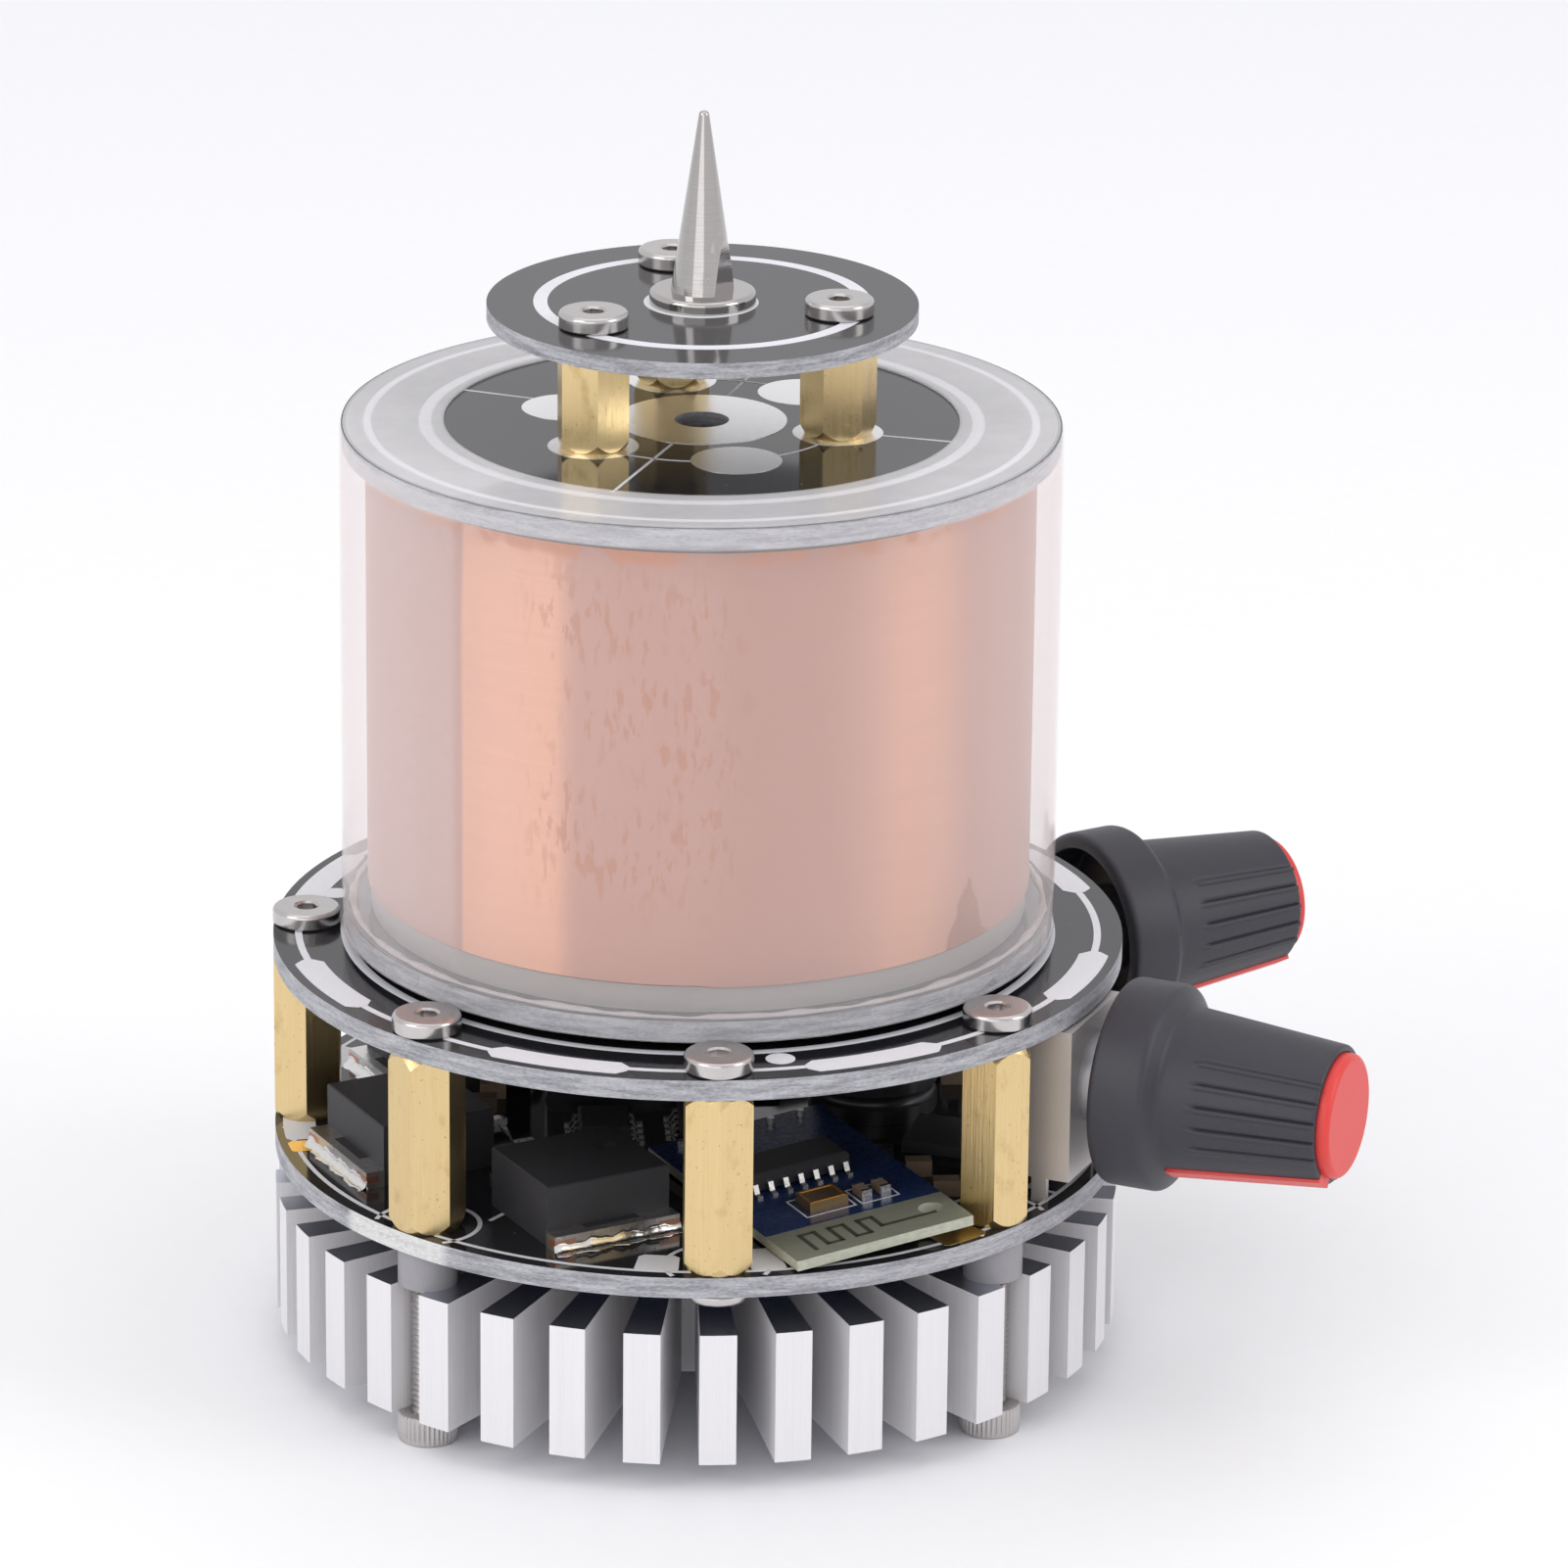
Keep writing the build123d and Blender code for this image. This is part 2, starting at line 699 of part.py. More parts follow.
def chip_body(leads_per_side):
    length = (leads_per_side - 1) * chip_pitch + 2 * chip_end_margin
    body = block(-chip_depth / 2, chip_depth / 2, -length / 2, length / 2, chip_standoff, chip_height)
    return chamfer(body.edges().group_by(Axis.Z)[-1], chip_lead_thick)


def chip_leads(leads_per_side):
    reach = (chip_span - chip_depth) / 2
    exit_height = (chip_height - chip_lead_thick) / 2
    lead = bent_lead(chip_depth / 2, chip_lead_shoulder, reach, chip_lead_foot, exit_height, chip_lead_thick,
                     chip_lead_width)
    half = (leads_per_side - 1) / 2
    leads = []
    for turn in (0, 180):
        for number in range(leads_per_side):
            leads.append(Pos(0, (number - half) * chip_pitch, 0) * Rot(0, 0, turn) * lead)
    return leads


def driver_chip_frames():
    frames = [Pos(*from_radio(offset), lower_top) for offset in front_chip_offsets]
    return frames + [Pos(*rear_chip_place, lower_top) * Rot(0, 0, 90)]


# Radio module

def radio_top():
    """Frame on the upper face of the radio module."""
    return radio_frame() * Pos(0, 0, radio_thick)


def radio_board():
    board = block(-radio_length, 0, 0, radio_width, 0, radio_thick)
    hole = post(radio_hole_dia / 2, 0, radio_thick)
    board -= Pos(-radio_hole_inset, radio_width - radio_hole_edge, 0) * hole
    for x, y in radio_pin_offsets():
        board -= Pos(x, y, 0) * post(radio_pin_dia / 2 + radio_pin_clearance, 0, radio_thick)
    return radio_frame() * board


def radio_pins():
    """Pins from above the module, through it and into the driver board."""
    pins = []
    for x, y in radio_pin_offsets():
        low = -(radio_gap + y * sin(radians(radio_tilt)) + board_thick / 2)
        pin = post(radio_pin_dia / 2, low, radio_thick + radio_pin_head)
        pins.append(radio_frame() * Pos(x, y, 0) * pin)
    return Compound(children=pins)


def small_box(size):
    """Box standing on Z 0, centred in plan."""
    return Box(*size, align=(Align.CENTER, Align.CENTER, Align.MIN))


# Leaded parts and the power inlet

def reservoir_capacitor():
    """Round can with a crimp groove near its foot."""
    radius = reservoir_dia / 2
    top = upper_bottom - reservoir_headroom
    can = post(radius, lower_top, top)
    can = fillet(can.edges().group_by(Axis.Z)[-1], reservoir_round)
    crimp = Torus(radius + reservoir_crimp_radius - reservoir_crimp_depth, reservoir_crimp_radius)
    crimp = Pos(0, 0, lower_top + reservoir_crimp_height) * crimp
    return Pos(*reservoir_centre(), 0) * (can - crimp)


def tank_capacitor():
    length, width = tank_size
    box = block(-length / 2, length / 2, -width / 2, width / 2, lower_top, upper_bottom - tank_headroom)
    box = chamfer(box.edges().filter_by(Axis.Z), tank_edge)
    return Pos(*from_radio(tank_offset), 0) * box


def wire_leads():
    """Leads of the two big capacitors, through the board."""
    lead = post(wire_lead_dia / 2, lower_bottom, lower_top)
    return spread(lead, wire_lead_places(reservoir_centre()) + wire_lead_places(from_radio(tank_offset)))


def power_inlet():
    """Socket housing with its bore open at the back of the apparatus."""
    half = jack_width / 2
    housing = block(-jack_length, 0, -half, half, lower_top, upper_bottom - jack_headroom)
    housing = chamfer(housing.edges().filter_by(Axis.X), jack_edge)
    axis_height = lower_top + jack_axis_height
    housing -= Pos(0, 0, axis_height) * rod(jack_bore_dia / 2, -jack_bore_depth, 0)
    return outward(jack_azimuth, jack_mouth) * housing


def inlet_pin():
    pin = rod(jack_pin_dia / 2, -jack_bore_depth, jack_pin_length - jack_bore_depth)
    pin = fillet(pin.edges().group_by(Axis.X)[-1], jack_pin_round)
    return outward(jack_azimuth, jack_mouth, lower_top + jack_axis_height) * pin


def write(nodes):
    """One STEP file for each named node."""
    os.makedirs("parts", exist_ok=True)
    for name, shape in nodes.items():
        export_step(shape, f"parts/{name}.step")


short_azimuths = [azimuth for azimuth in column_turns if azimuth not in foot_azimuths]
upside_down = Rot(180, 0, 0)
column_places = [outward(azimuth, column_circle) * Rot(0, 0, turn) for azimuth, turn in column_turns.items()]
post_places = [outward(azimuth, post_circle) * Rot(0, 0, turn) for azimuth, turn in post_turns.items()]
base_circle = base_screw_circle_dia / 2
base_screw_length = board_thick + coil_base_gap + coil_board_thick + base_nut_height
tank_x, tank_y = from_radio(tank_offset)
resistors = resistor_places + tuple((tank_x + x, tank_y + y) for x, y in tank_resistor_offsets)
board_top = Pos(0, 0, lower_top)

nodes = {
    "heat_sink": heat_sink(),
    "foot_screws": spread(foot_screw(), ring_places(column_circle, foot_azimuths)),
    "sink_spacers": spread(
        post(spacer_dia / 2, sink_top, lower_bottom) - post(screw_hole_radius, sink_top, lower_bottom),
        ring_places(column_circle, foot_azimuths)),
    "thermal_pad": post(pad_dia / 2, sink_top, lower_bottom),
    "lower_board": lower_board(),
    "lower_board_screws": spread(
        upside_down * flat_screw(board_thick + column_reach, under_head),
        ring_places(column_circle, short_azimuths, lower_bottom)),
    "board_columns": spread(Pos(0, 0, lower_top) * hex_spacer(column_height), column_places),
    "upper_board": upper_board(),
    "upper_board_screws": spread(
        flat_screw(board_thick + column_reach, top_head),
        ring_places(column_circle, column_turns, upper_top)),
    "coil_bottom_board": coil_bottom_board(),
    "coil_base_screws": spread(
        upside_down * flat_screw(base_screw_length, under_head),
        ring_places(base_circle, base_screw_azimuths, upper_bottom)),
    "coil_base_washers": spread(
        post(coil_washer_dia / 2, upper_top, coil_bottom) - post(screw_hole_radius, upper_top, coil_bottom),
        ring_places(base_circle, base_screw_azimuths)),
    "coil_base_nuts": spread(hex_nut(), ring_places(base_circle, base_screw_azimuths, former_bottom)),
    "coil_former": coil_former(),
    "secondary_winding": secondary_winding(),
    "coil_film": coil_film(),
    "coil_top_board": coil_top_board(),
    "post_screws": spread(
        upside_down * flat_screw(coil_board_thick + post_reach, under_head),
        ring_places(post_circle, post_turns, former_top)),
    "terminal_posts": spread(Pos(0, 0, coil_top) * hex_spacer(post_height), post_places),
    "top_disc": top_disc(),
    "top_disc_screws": spread(
        flat_screw(disc_thick + post_reach, top_head), ring_places(post_circle, post_turns, disc_top)),
    "terminal_spike": terminal_spike(),
    "spike_screw": Pos(0, 0, disc_bottom) * upside_down * flat_screw(
        disc_thick + spike_screw_reach - spike_screw_gap, under_head),
    "transistor_bodies": spread(transistor_body(), transistor_frames()),
    "transistor_tabs": spread(transistor_tab(), transistor_frames()),
    "transistor_leads": Compound(children=[
        frame * lead for frame in transistor_frames() for lead in transistor_leads()]),
    "radio_board": radio_board(),
    "radio_pins": radio_pins(),
    "radio_chip": radio_top() * Pos(*radio_chip_place, 0) * chip_body(radio_leads_per_side),
    "radio_chip_leads": Compound(children=[
        radio_top() * Pos(*radio_chip_place, 0) * lead for lead in chip_leads(radio_leads_per_side)]),
    "radio_crystal": radio_top() * Pos(*crystal_place, 0) * small_box(crystal_size),
    "radio_capacitors": spread(
        small_box(radio_capacitor_size), [radio_top() * Pos(*place, 0) for place in radio_capacitor_places]),
    "driver_chips": spread(chip_body(driver_leads_per_side), driver_chip_frames()),
    "driver_chip_leads": Compound(children=[
        frame * lead for frame in driver_chip_frames() for lead in chip_leads(driver_leads_per_side)]),
    "controller_chip": outward(controller_azimuth, board_dia / 2 - controller_inset, lower_top) * small_box(
        (controller_side, controller_side, controller_height)),
    "chip_resistors": spread(
        small_box(resistor_size), [board_top * Pos(*place, 0) for place in resistors]),
    "chip_capacitors": spread(
        small_box(capacitor_size), [board_top * Pos(*place, 0) for place in capacitor_places]),
    "reservoir_capacitor": reservoir_capacitor(),
    "tank_capacitor": tank_capacitor(),
    "capacitor_leads": wire_leads(),
    "power_inlet": power_inlet(),
    "power_inlet_pin": inlet_pin(),
    "power_inlet_terminals": spread(
        post(jack_terminal_dia / 2, lower_bottom, lower_top), jack_terminal_frames()),
}
for side, azimuth in pot_azimuths.items():
    frame = outward(azimuth)
    nodes |= {
        f"{side}_pot_case": frame * pot_case(),
        f"{side}_pot_bushing": frame * pot_bushing(),
        f"{side}_pot_wafer": frame * pot_wafer(),
        f"{side}_pot_pins": pot_pins(azimuth),
        f"{side}_pot_shaft": frame * pot_shaft(),
        f"{side}_knob": frame * on_knob(knob_body()),
        f"{side}_knob_insert": frame * on_knob(knob_insert()),
    }
write(nodes)
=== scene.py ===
import bmesh
import bpy
import json
import numpy as np
from math import cos, degrees, pi, radians, sin
from mathutils import Matrix, Vector


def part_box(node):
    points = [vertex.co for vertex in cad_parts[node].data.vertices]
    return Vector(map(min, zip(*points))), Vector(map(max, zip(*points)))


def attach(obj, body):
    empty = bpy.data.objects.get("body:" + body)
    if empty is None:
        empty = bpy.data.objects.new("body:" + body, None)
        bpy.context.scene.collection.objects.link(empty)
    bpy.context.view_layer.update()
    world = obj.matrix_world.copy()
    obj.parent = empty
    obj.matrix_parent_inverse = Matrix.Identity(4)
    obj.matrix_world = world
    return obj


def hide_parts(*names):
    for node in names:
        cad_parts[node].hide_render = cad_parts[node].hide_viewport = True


# Dresses a small bench resonant transformer. Metres; azimuth 0 is the front, -Y, and 90 the right, +X.
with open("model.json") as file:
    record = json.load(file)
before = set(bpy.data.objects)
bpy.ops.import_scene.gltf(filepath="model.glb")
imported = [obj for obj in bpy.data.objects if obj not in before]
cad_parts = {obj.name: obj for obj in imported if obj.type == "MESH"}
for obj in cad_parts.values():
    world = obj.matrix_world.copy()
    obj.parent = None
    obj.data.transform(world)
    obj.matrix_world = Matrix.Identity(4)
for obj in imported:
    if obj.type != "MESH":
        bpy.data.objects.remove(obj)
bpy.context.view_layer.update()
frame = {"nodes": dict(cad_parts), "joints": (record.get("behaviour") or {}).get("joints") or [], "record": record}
nodes = frame["nodes"]
joints = {joint["name"]: joint for joint in frame["joints"]}
mm = 0.001
still = "apparatus"  # the body that all but the two controls ride on


def low(node):  # lowest corner of a node's box
    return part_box(node)[0]


def high(node):  # highest corner of a node's box
    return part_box(node)[1]


def polar(radius, azimuth, height):  # points at a radius, an azimuth in degrees and a height
    turn = np.radians(azimuth)
    parts = np.broadcast_arrays(radius * np.sin(turn), -radius * np.cos(turn), height)
    return np.stack(parts, -1).astype(float)


def gridFaces(rows, columns, wrap):  # quads between neighbours in a grid, closed along the columns if wrap
    across = columns if wrap else columns - 1
    row, column = np.meshgrid(np.arange(rows - 1), np.arange(across), indexing="ij")
    here = row * columns + column
    beside = row * columns + (column + 1) % columns
    return np.stack([here, beside, beside + columns, here + columns], -1).reshape(-1, 4)


def meshPiece(name, points, faces, material, body=still, smooth=True):
    # A mesh from arrays of points and quads: equal points merged, loose ones dropped, faces turned outwards
    weld = 1e-7
    mesh = bpy.data.meshes.new(name)
    flat = np.asarray(points, np.float32).reshape(-1, 3)
    quads = np.asarray(faces, np.int32)
    mesh.vertices.add(len(flat))
    mesh.vertices.foreach_set("co", flat.ravel())
    mesh.loops.add(quads.size)
    mesh.loops.foreach_set("vertex_index", quads.ravel())
    mesh.polygons.add(len(quads))
    mesh.polygons.foreach_set("loop_start", np.arange(len(quads), dtype=np.int32) * quads.shape[1])
    mesh.update(calc_edges=True)
    mesh.validate()
    work = bmesh.new()
    work.from_mesh(mesh)
    bmesh.ops.remove_doubles(work, verts=work.verts, dist=weld)
    bmesh.ops.dissolve_degenerate(work, edges=work.edges, dist=weld)
    loose = [vert for vert in work.verts if not vert.link_faces]
    bmesh.ops.delete(work, geom=loose, context="VERTS")
    bmesh.ops.recalc_face_normals(work, faces=work.faces)
    work.to_mesh(mesh)
    work.free()
    mesh.polygons.foreach_set("use_smooth", np.full(len(mesh.polygons), smooth))
    piece = bpy.data.objects.new(name, mesh)
    bpy.context.scene.collection.objects.link(piece)
    mesh.materials.append(material)
    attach(piece, body)
    return piece


def mergedPiece(name, grids, material, smooth=False):  # one piece from several (points, faces)
    points, faces, start = [], [], 0
    for grid, quads in grids:
        grid = np.asarray(grid, float).reshape(-1, 3)
        points.append(grid)
        faces.append(quads + start)
        start += len(grid)
    return meshPiece(name, np.concatenate(points), np.concatenate(faces), material, smooth=smooth)


def sharpen(piece, angle):  # keeps the edges past an angle crisp between smooth faces
    piece.data.set_sharp_from_angle(angle=radians(angle))


def lathe(heights, radii, columns):  # surface of revolution: radius at each row, or at each row and column
    turns = np.arange(columns) * 360.0 / columns
    radii = np.asarray(radii, float)
    if radii.ndim == 1:
        radii = np.repeat(radii[:, None], columns, 1)
    grid = polar(radii, turns[None, :], np.asarray(heights, float)[:, None])
    return grid, gridFaces(len(radii), columns, True)


def wall(near, far, bottom, top):  # section of a flat strip: up its near edge, over, down its far edge, back
    return [(near, bottom), (near, top), (far, top), (far, bottom), (near, bottom)]


def sector(inner, outer, start, end, bottom, top, corner=0.0, steps=48):
    # Flat strip between two radii and two azimuths; corner is how much its four corners are cut off
    share = np.linspace(0.0, 1.0, steps)
    azimuth = start + (end - start) * share
    reach = np.minimum(share, 1 - share) * radians(abs(end - start)) * (inner + outer) / 2
    cut = np.clip(corner - reach, 0, corner) if corner else np.zeros(steps)
    rows = [polar(radius, azimuth, height) for radius, height in wall(inner + cut, outer - cut, bottom, top)]
    return np.stack(rows), gridFaces(len(rows), steps, False)


def disc(x, y, radius, bottom, top, steps=48, hole=0.0):  # flat round dot or ring anywhere
    turns = np.linspace(0, 2 * pi, steps)
    rows = [np.stack([x + reach * np.cos(turns), y + reach * np.sin(turns), np.full(steps, height)], -1)
            for reach, height in wall(hole, radius, bottom, top)]
    return np.stack(rows), gridFaces(len(rows), steps, False)


def bar(start, end, width, bottom, top):  # straight flat stroke between two points
    ends = np.array([start, end], float)
    along = (ends[1] - ends[0]) / np.linalg.norm(ends[1] - ends[0])
    side = np.array([-along[1], along[0]]) * width / 2
    section = wall(side, -side, bottom, top)
    rows = [np.column_stack([ends + offset, np.full(2, height)]) for offset, height in section]
    return np.stack(rows), gridFaces(len(rows), 2, False)


class Wire:  # a socket that takes part in sums
    def __init__(self, paint, socket):
        self.paint, self.socket = paint, socket

    def calc(self, operation, *values):  # a sum of this kind on wires and numbers
        return self.paint.node("Math", {"operation": operation}, dict(enumerate(values)))

    def __add__(self, other): return self.calc("ADD", self, other)
    def __radd__(self, other): return self.calc("ADD", other, self)
    def __sub__(self, other): return self.calc("SUBTRACT", self, other)
    def __rsub__(self, other): return self.calc("SUBTRACT", other, self)
    def __mul__(self, other): return self.calc("MULTIPLY", self, other)
    def __rmul__(self, other): return self.calc("MULTIPLY", other, self)
    def __truediv__(self, other): return self.calc("DIVIDE", self, other)
    def __pow__(self, other): return self.calc("POWER", self, other)
    def __abs__(self): return self.calc("ABSOLUTE", self)

    def step(self, start, end):  # 0 below start and 1 above end, with a smooth rise between
        return self.paint.node("MapRange", {"interpolation_type": "SMOOTHSTEP"}, {0: self, 1: start, 2: end})

    def band(self, middle, half, soft):  # 1 within half of the middle, with soft edges
        return 1 - abs(self - middle).step(half - soft, half + soft)


class Paint:  # a material and the nodes that make it
    def __init__(self, name):
        self.material = bpy.data.materials.new(name)
        self.material.use_nodes = True
        self.tree = self.material.node_tree
        self.tree.nodes.clear()
        self.place = self.node("TexCoord", {}, {}, "Object")

    def node(self, kind, settings, inputs, output=0):
        # A new node, its inputs linked to wires or set to values; gives the wire that leaves it
        made = self.tree.nodes.new("ShaderNode" + kind)
        for key, value in settings.items():
            setattr(made, key, value)
        for key, value in inputs.items():
            if isinstance(value, Wire):
                self.tree.links.new(value.socket, made.inputs[key])
            else:
                made.inputs[key].default_value = value
        return Wire(self, made.outputs[output]) if len(made.outputs) else None

    def xyz(self, vector):  # a vector's three parts
        split = self.node("SeparateXYZ", {}, {0: vector})
        return [Wire(self, socket) for socket in split.socket.node.outputs]

    def turned(self, degreesZ, move, tilt):  # object place, moved and then turned back to level
        spot = self.node("VectorMath", {"operation": "SUBTRACT"}, {0: self.place, 1: move})
        for axis, angle in (("Z_AXIS", radians(-degreesZ)), ("X_AXIS", radians(-tilt))):
            spot = self.node("VectorRotate", {"rotation_type": axis}, {"Vector": spot, "Angle": angle})
        return spot

    def noise(self, size, stretch=(1, 1, 1), detail=3.0, rough=0.5, vector=None):
        # 0 to 1; size in metres is the width of a blotch, and stretch is how long it is along each axis
        scale = [1 / (size * part) for part in stretch]
        spot = self.node("VectorMath", {"operation": "MULTIPLY"}, {0: vector or self.place, 1: scale})
        return self.node("TexNoise", {}, {"Vector": spot, "Scale": 1.0, "Detail": detail, "Roughness": rough})

    def mix(self, factor, first, second):  # the first colour at factor 0, the second at 1
        first, second = [colour if isinstance(colour, Wire) else (*colour, 1.0) for colour in (first, second)]
        return self.node("Mix", {"data_type": "RGBA"}, {0: factor, 6: first, 7: second}, 2)

    def up(self):  # vertical part of the face's direction
        return self.xyz(self.node("NewGeometry", {}, {}, "True Normal"))[2]

    def around(self):  # azimuth in degrees about the vertical axis, and height
        x, y, z = self.xyz(self.place)
        return x.calc("ARCTAN2", x, 0 - y) * degrees(1.0), z

    def bump(self, height, depth):  # height 0 to 1 raised by depth in metres
        return self.node("Bump", {}, {"Height": height, "Distance": depth, "Strength": 1.0})

    def finish(self, colour, rough, metal, relief=None, alpha=1.0):  # the surface itself
        inputs = {"Base Color": colour, "Roughness": rough, "Metallic": metal, "Alpha": alpha}
        if relief:
            inputs["Normal"] = relief
        self.node("OutputMaterial", {}, {"Surface": self.node("BsdfPrincipled", {}, inputs)})
        return self.material


boardLook = {"sawnDark": (0.17, 0.17, 0.19), "sawnLight": (0.50, 0.50, 0.53), "torn": (0.72, 0.72, 0.70),
             "lacquerDark": (0.010, 0.010, 0.012), "lacquerLight": (0.018, 0.018, 0.021),
             "dust": (0.30, 0.30, 0.32), "strand": 0.45 * mm, "strandLength": 9.0, "fleck": 0.12 * mm,
             "cloud": 9 * mm, "speck": 0.35 * mm, "sawnRough": 0.55, "lacquerRough": 0.09, "depth": 0.05 * mm,
             "tabAzimuth": -47.0, "tabHalf": 9.0, "tabEdge": 1.2}


def boardFinish(name, tab):  # glossy black lacquer; grey fibres on the sawn rim, paler where a tab broke off
    look, paint = boardLook, Paint(name)
    fibre = paint.noise(look["strand"], (look["strandLength"], look["strandLength"], 1), 4.0, 0.7)
    fleck = paint.noise(look["fleck"], (3, 3, 1), 2.0)
    rim = paint.mix((fibre * 0.75 + fleck * 0.35).step(0.3, 0.8), look["sawnDark"], look["sawnLight"])
    if tab:
        torn = paint.around()[0].band(look["tabAzimuth"], look["tabHalf"], look["tabEdge"])
        rim = paint.mix(torn * (fleck + 0.2), rim, look["torn"])
    face = abs(paint.up()).step(0.6, 0.7)
    cloud = paint.noise(look["cloud"], detail=2.0)
    lacquer = paint.mix(cloud, look["lacquerDark"], look["lacquerLight"])
    dust = paint.noise(look["speck"], detail=1.0).step(0.79, 0.83)
    lacquer = paint.mix(dust * 0.5, lacquer, look["dust"])
    rough = face * (look["lacquerRough"] - look["sawnRough"]) + look["sawnRough"] + dust * 0.3 + cloud * 0.03
    relief = (1 - face) * fibre + face * paint.noise(2 * mm, detail=2.0) * 0.02
    return paint.finish(paint.mix(face, rim, lacquer), rough, 0.0, paint.bump(relief, look["depth"]))


inkLook = {"dark": (0.70, 0.70, 0.74), "light": (0.80, 0.80, 0.84), "grain": 0.3 * mm, "depth": 0.01 * mm}


def inkFinish():  # white print, very slightly uneven
    paint = Paint("whitePrint")
    grain = paint.noise(inkLook["grain"])
    colour = paint.mix(grain, inkLook["dark"], inkLook["light"])
    return paint.finish(colour, 0.35 + grain * 0.2, 0.0, paint.bump(grain, inkLook["depth"]))


brassLook = {"dark": (0.66, 0.49, 0.235), "light": (0.78, 0.61, 0.33), "stain": (0.50, 0.34, 0.14),
             "speck": (0.34, 0.20, 0.08), "line": 0.16 * mm, "lineLength": 40, "stainSize": 1.7 * mm,
             "speckSize": 0.30 * mm, "depth": 0.02 * mm}


def brassFinish():  # drawn and lightly brushed along its length, with a few brown handling marks
    look, paint = brassLook, Paint("drawnBrass")
    lines = paint.noise(look["line"], (1, 1, look["lineLength"]), 3.0, 0.6)
    stain = paint.noise(look["stainSize"], (1, 1, 1.6), 3.0, 0.6).step(0.54, 0.74)
    speck = paint.noise(look["speckSize"], detail=2.0).step(0.66, 0.74)
    colour = paint.mix(lines, look["dark"], look["light"])
    colour = paint.mix(stain * 0.40, colour, look["stain"])
    colour = paint.mix(speck * 0.5, colour, look["speck"])
    rough = 0.24 + lines * 0.14 + stain * 0.12
    return paint.finish(colour, rough, 1.0, paint.bump(lines + stain * 0.4, look["depth"]))


nickelLook = {"dark": (0.53, 0.505, 0.495), "light": (0.60, 0.575, 0.565), "tarnish": (0.46, 0.43, 0.41),
              "grain": 0.5 * mm, "tarnishSize": 1.6 * mm}


def nickelFinish():  # plated screws, smooth, with faint tarnish
    look, paint = nickelLook, Paint("nickelPlate")
    grain = paint.noise(look["grain"], detail=4.0, rough=0.6)
    tarnish = paint.noise(look["tarnishSize"], detail=2.0).step(0.5, 0.8)
    colour = paint.mix(grain, look["dark"], look["light"])
    colour = paint.mix(tarnish * 0.20, colour, look["tarnish"])
    return paint.finish(colour, 0.20 + grain * 0.05, 1.0)


spikeLook = {"dark": (0.44, 0.42, 0.41), "light": (0.56, 0.535, 0.52), "ring": 0.10 * mm, "depth": 0.004 * mm}


def spikeFinish():  # turned and polished, with the tool's fine rings left on it
    paint = Paint("polishedSpike")
    ring = paint.noise(spikeLook["ring"], (60, 60, 1), 3.0, 0.6)
    colour = paint.mix(ring, spikeLook["dark"], spikeLook["light"])
    return paint.finish(colour, 0.06 + ring * 0.07, 1.0, paint.bump(ring, spikeLook["depth"]))


sinkLook = {"dark": (0.68, 0.67, 0.685), "light": (0.86, 0.845, 0.86), "end": (0.58, 0.60, 0.68),
            "fine": 0.14 * mm, "fineLength": 90, "wide": 0.9 * mm, "wideLength": 60, "cloud": 3 * mm,
            "sideMetal": 0.30, "endMetal": 0.95, "depth": 0.03 * mm}


def sinkFinish():  # extruded aluminium: drawn lines down each fin's sides, smooth cut ends
    look, paint = sinkLook, Paint("extrudedAluminium")
    lines = paint.noise(look["fine"], (1, 1, look["fineLength"]), 4.0, 0.65)
    wide = paint.noise(look["wide"], (1, 1, look["wideLength"]), 2.0)
    cloud = paint.noise(look["cloud"])
    end = abs(paint.up()).step(0.6, 0.8)
    side = paint.mix(lines * 0.7 + wide * 0.3, look["dark"], look["light"])
    rough = 0.36 + lines * 0.12 - end * 0.16 + cloud * 0.08
    relief = (1 - end) * (lines + wide * 0.6) + cloud * 0.15
    metal = look["sideMetal"] + end * (look["endMetal"] - look["sideMetal"])
    return paint.finish(paint.mix(end, side, look["end"]), rough, metal, paint.bump(relief, look["depth"]))


copperLook = {
    "dark": (0.50, 0.285, 0.235), "light": (0.57, 0.325, 0.265), "paintedHighlight": (0.86, 0.47, 0.32),
    "shade": (0.38, 0.205, 0.17), "thread": (0.50, 0.27, 0.20), "spot": (0.48, 0.20, 0.11),
    "patch": (0.38, 0.18, 0.12), "rim": (0.60, 0.25, 0.13), "perDegree": 0.44 * mm, "thin": 0.20 * mm,
    "broad": 1.0 * mm, "highlightSpan": ((-46, -44.4), (-29, -20)),
    "highlightBands": ((38, 10, 9), (140, 30, 20), (-130, 14, 6)), "shaded": (11, 10, 9),
    "spotSize": 0.9 * mm, "spotAzimuths": (-14, 19, 8), "spotHeight": 0.56, "spotHalf": 0.40,
    "spotEdge": 4 * mm, "patchAzimuth": 50, "patchDegrees": 7.0, "patchHeight": 6.4 * mm,
    "rimHeight": 1.1 * mm, "depth": 0.002 * mm}


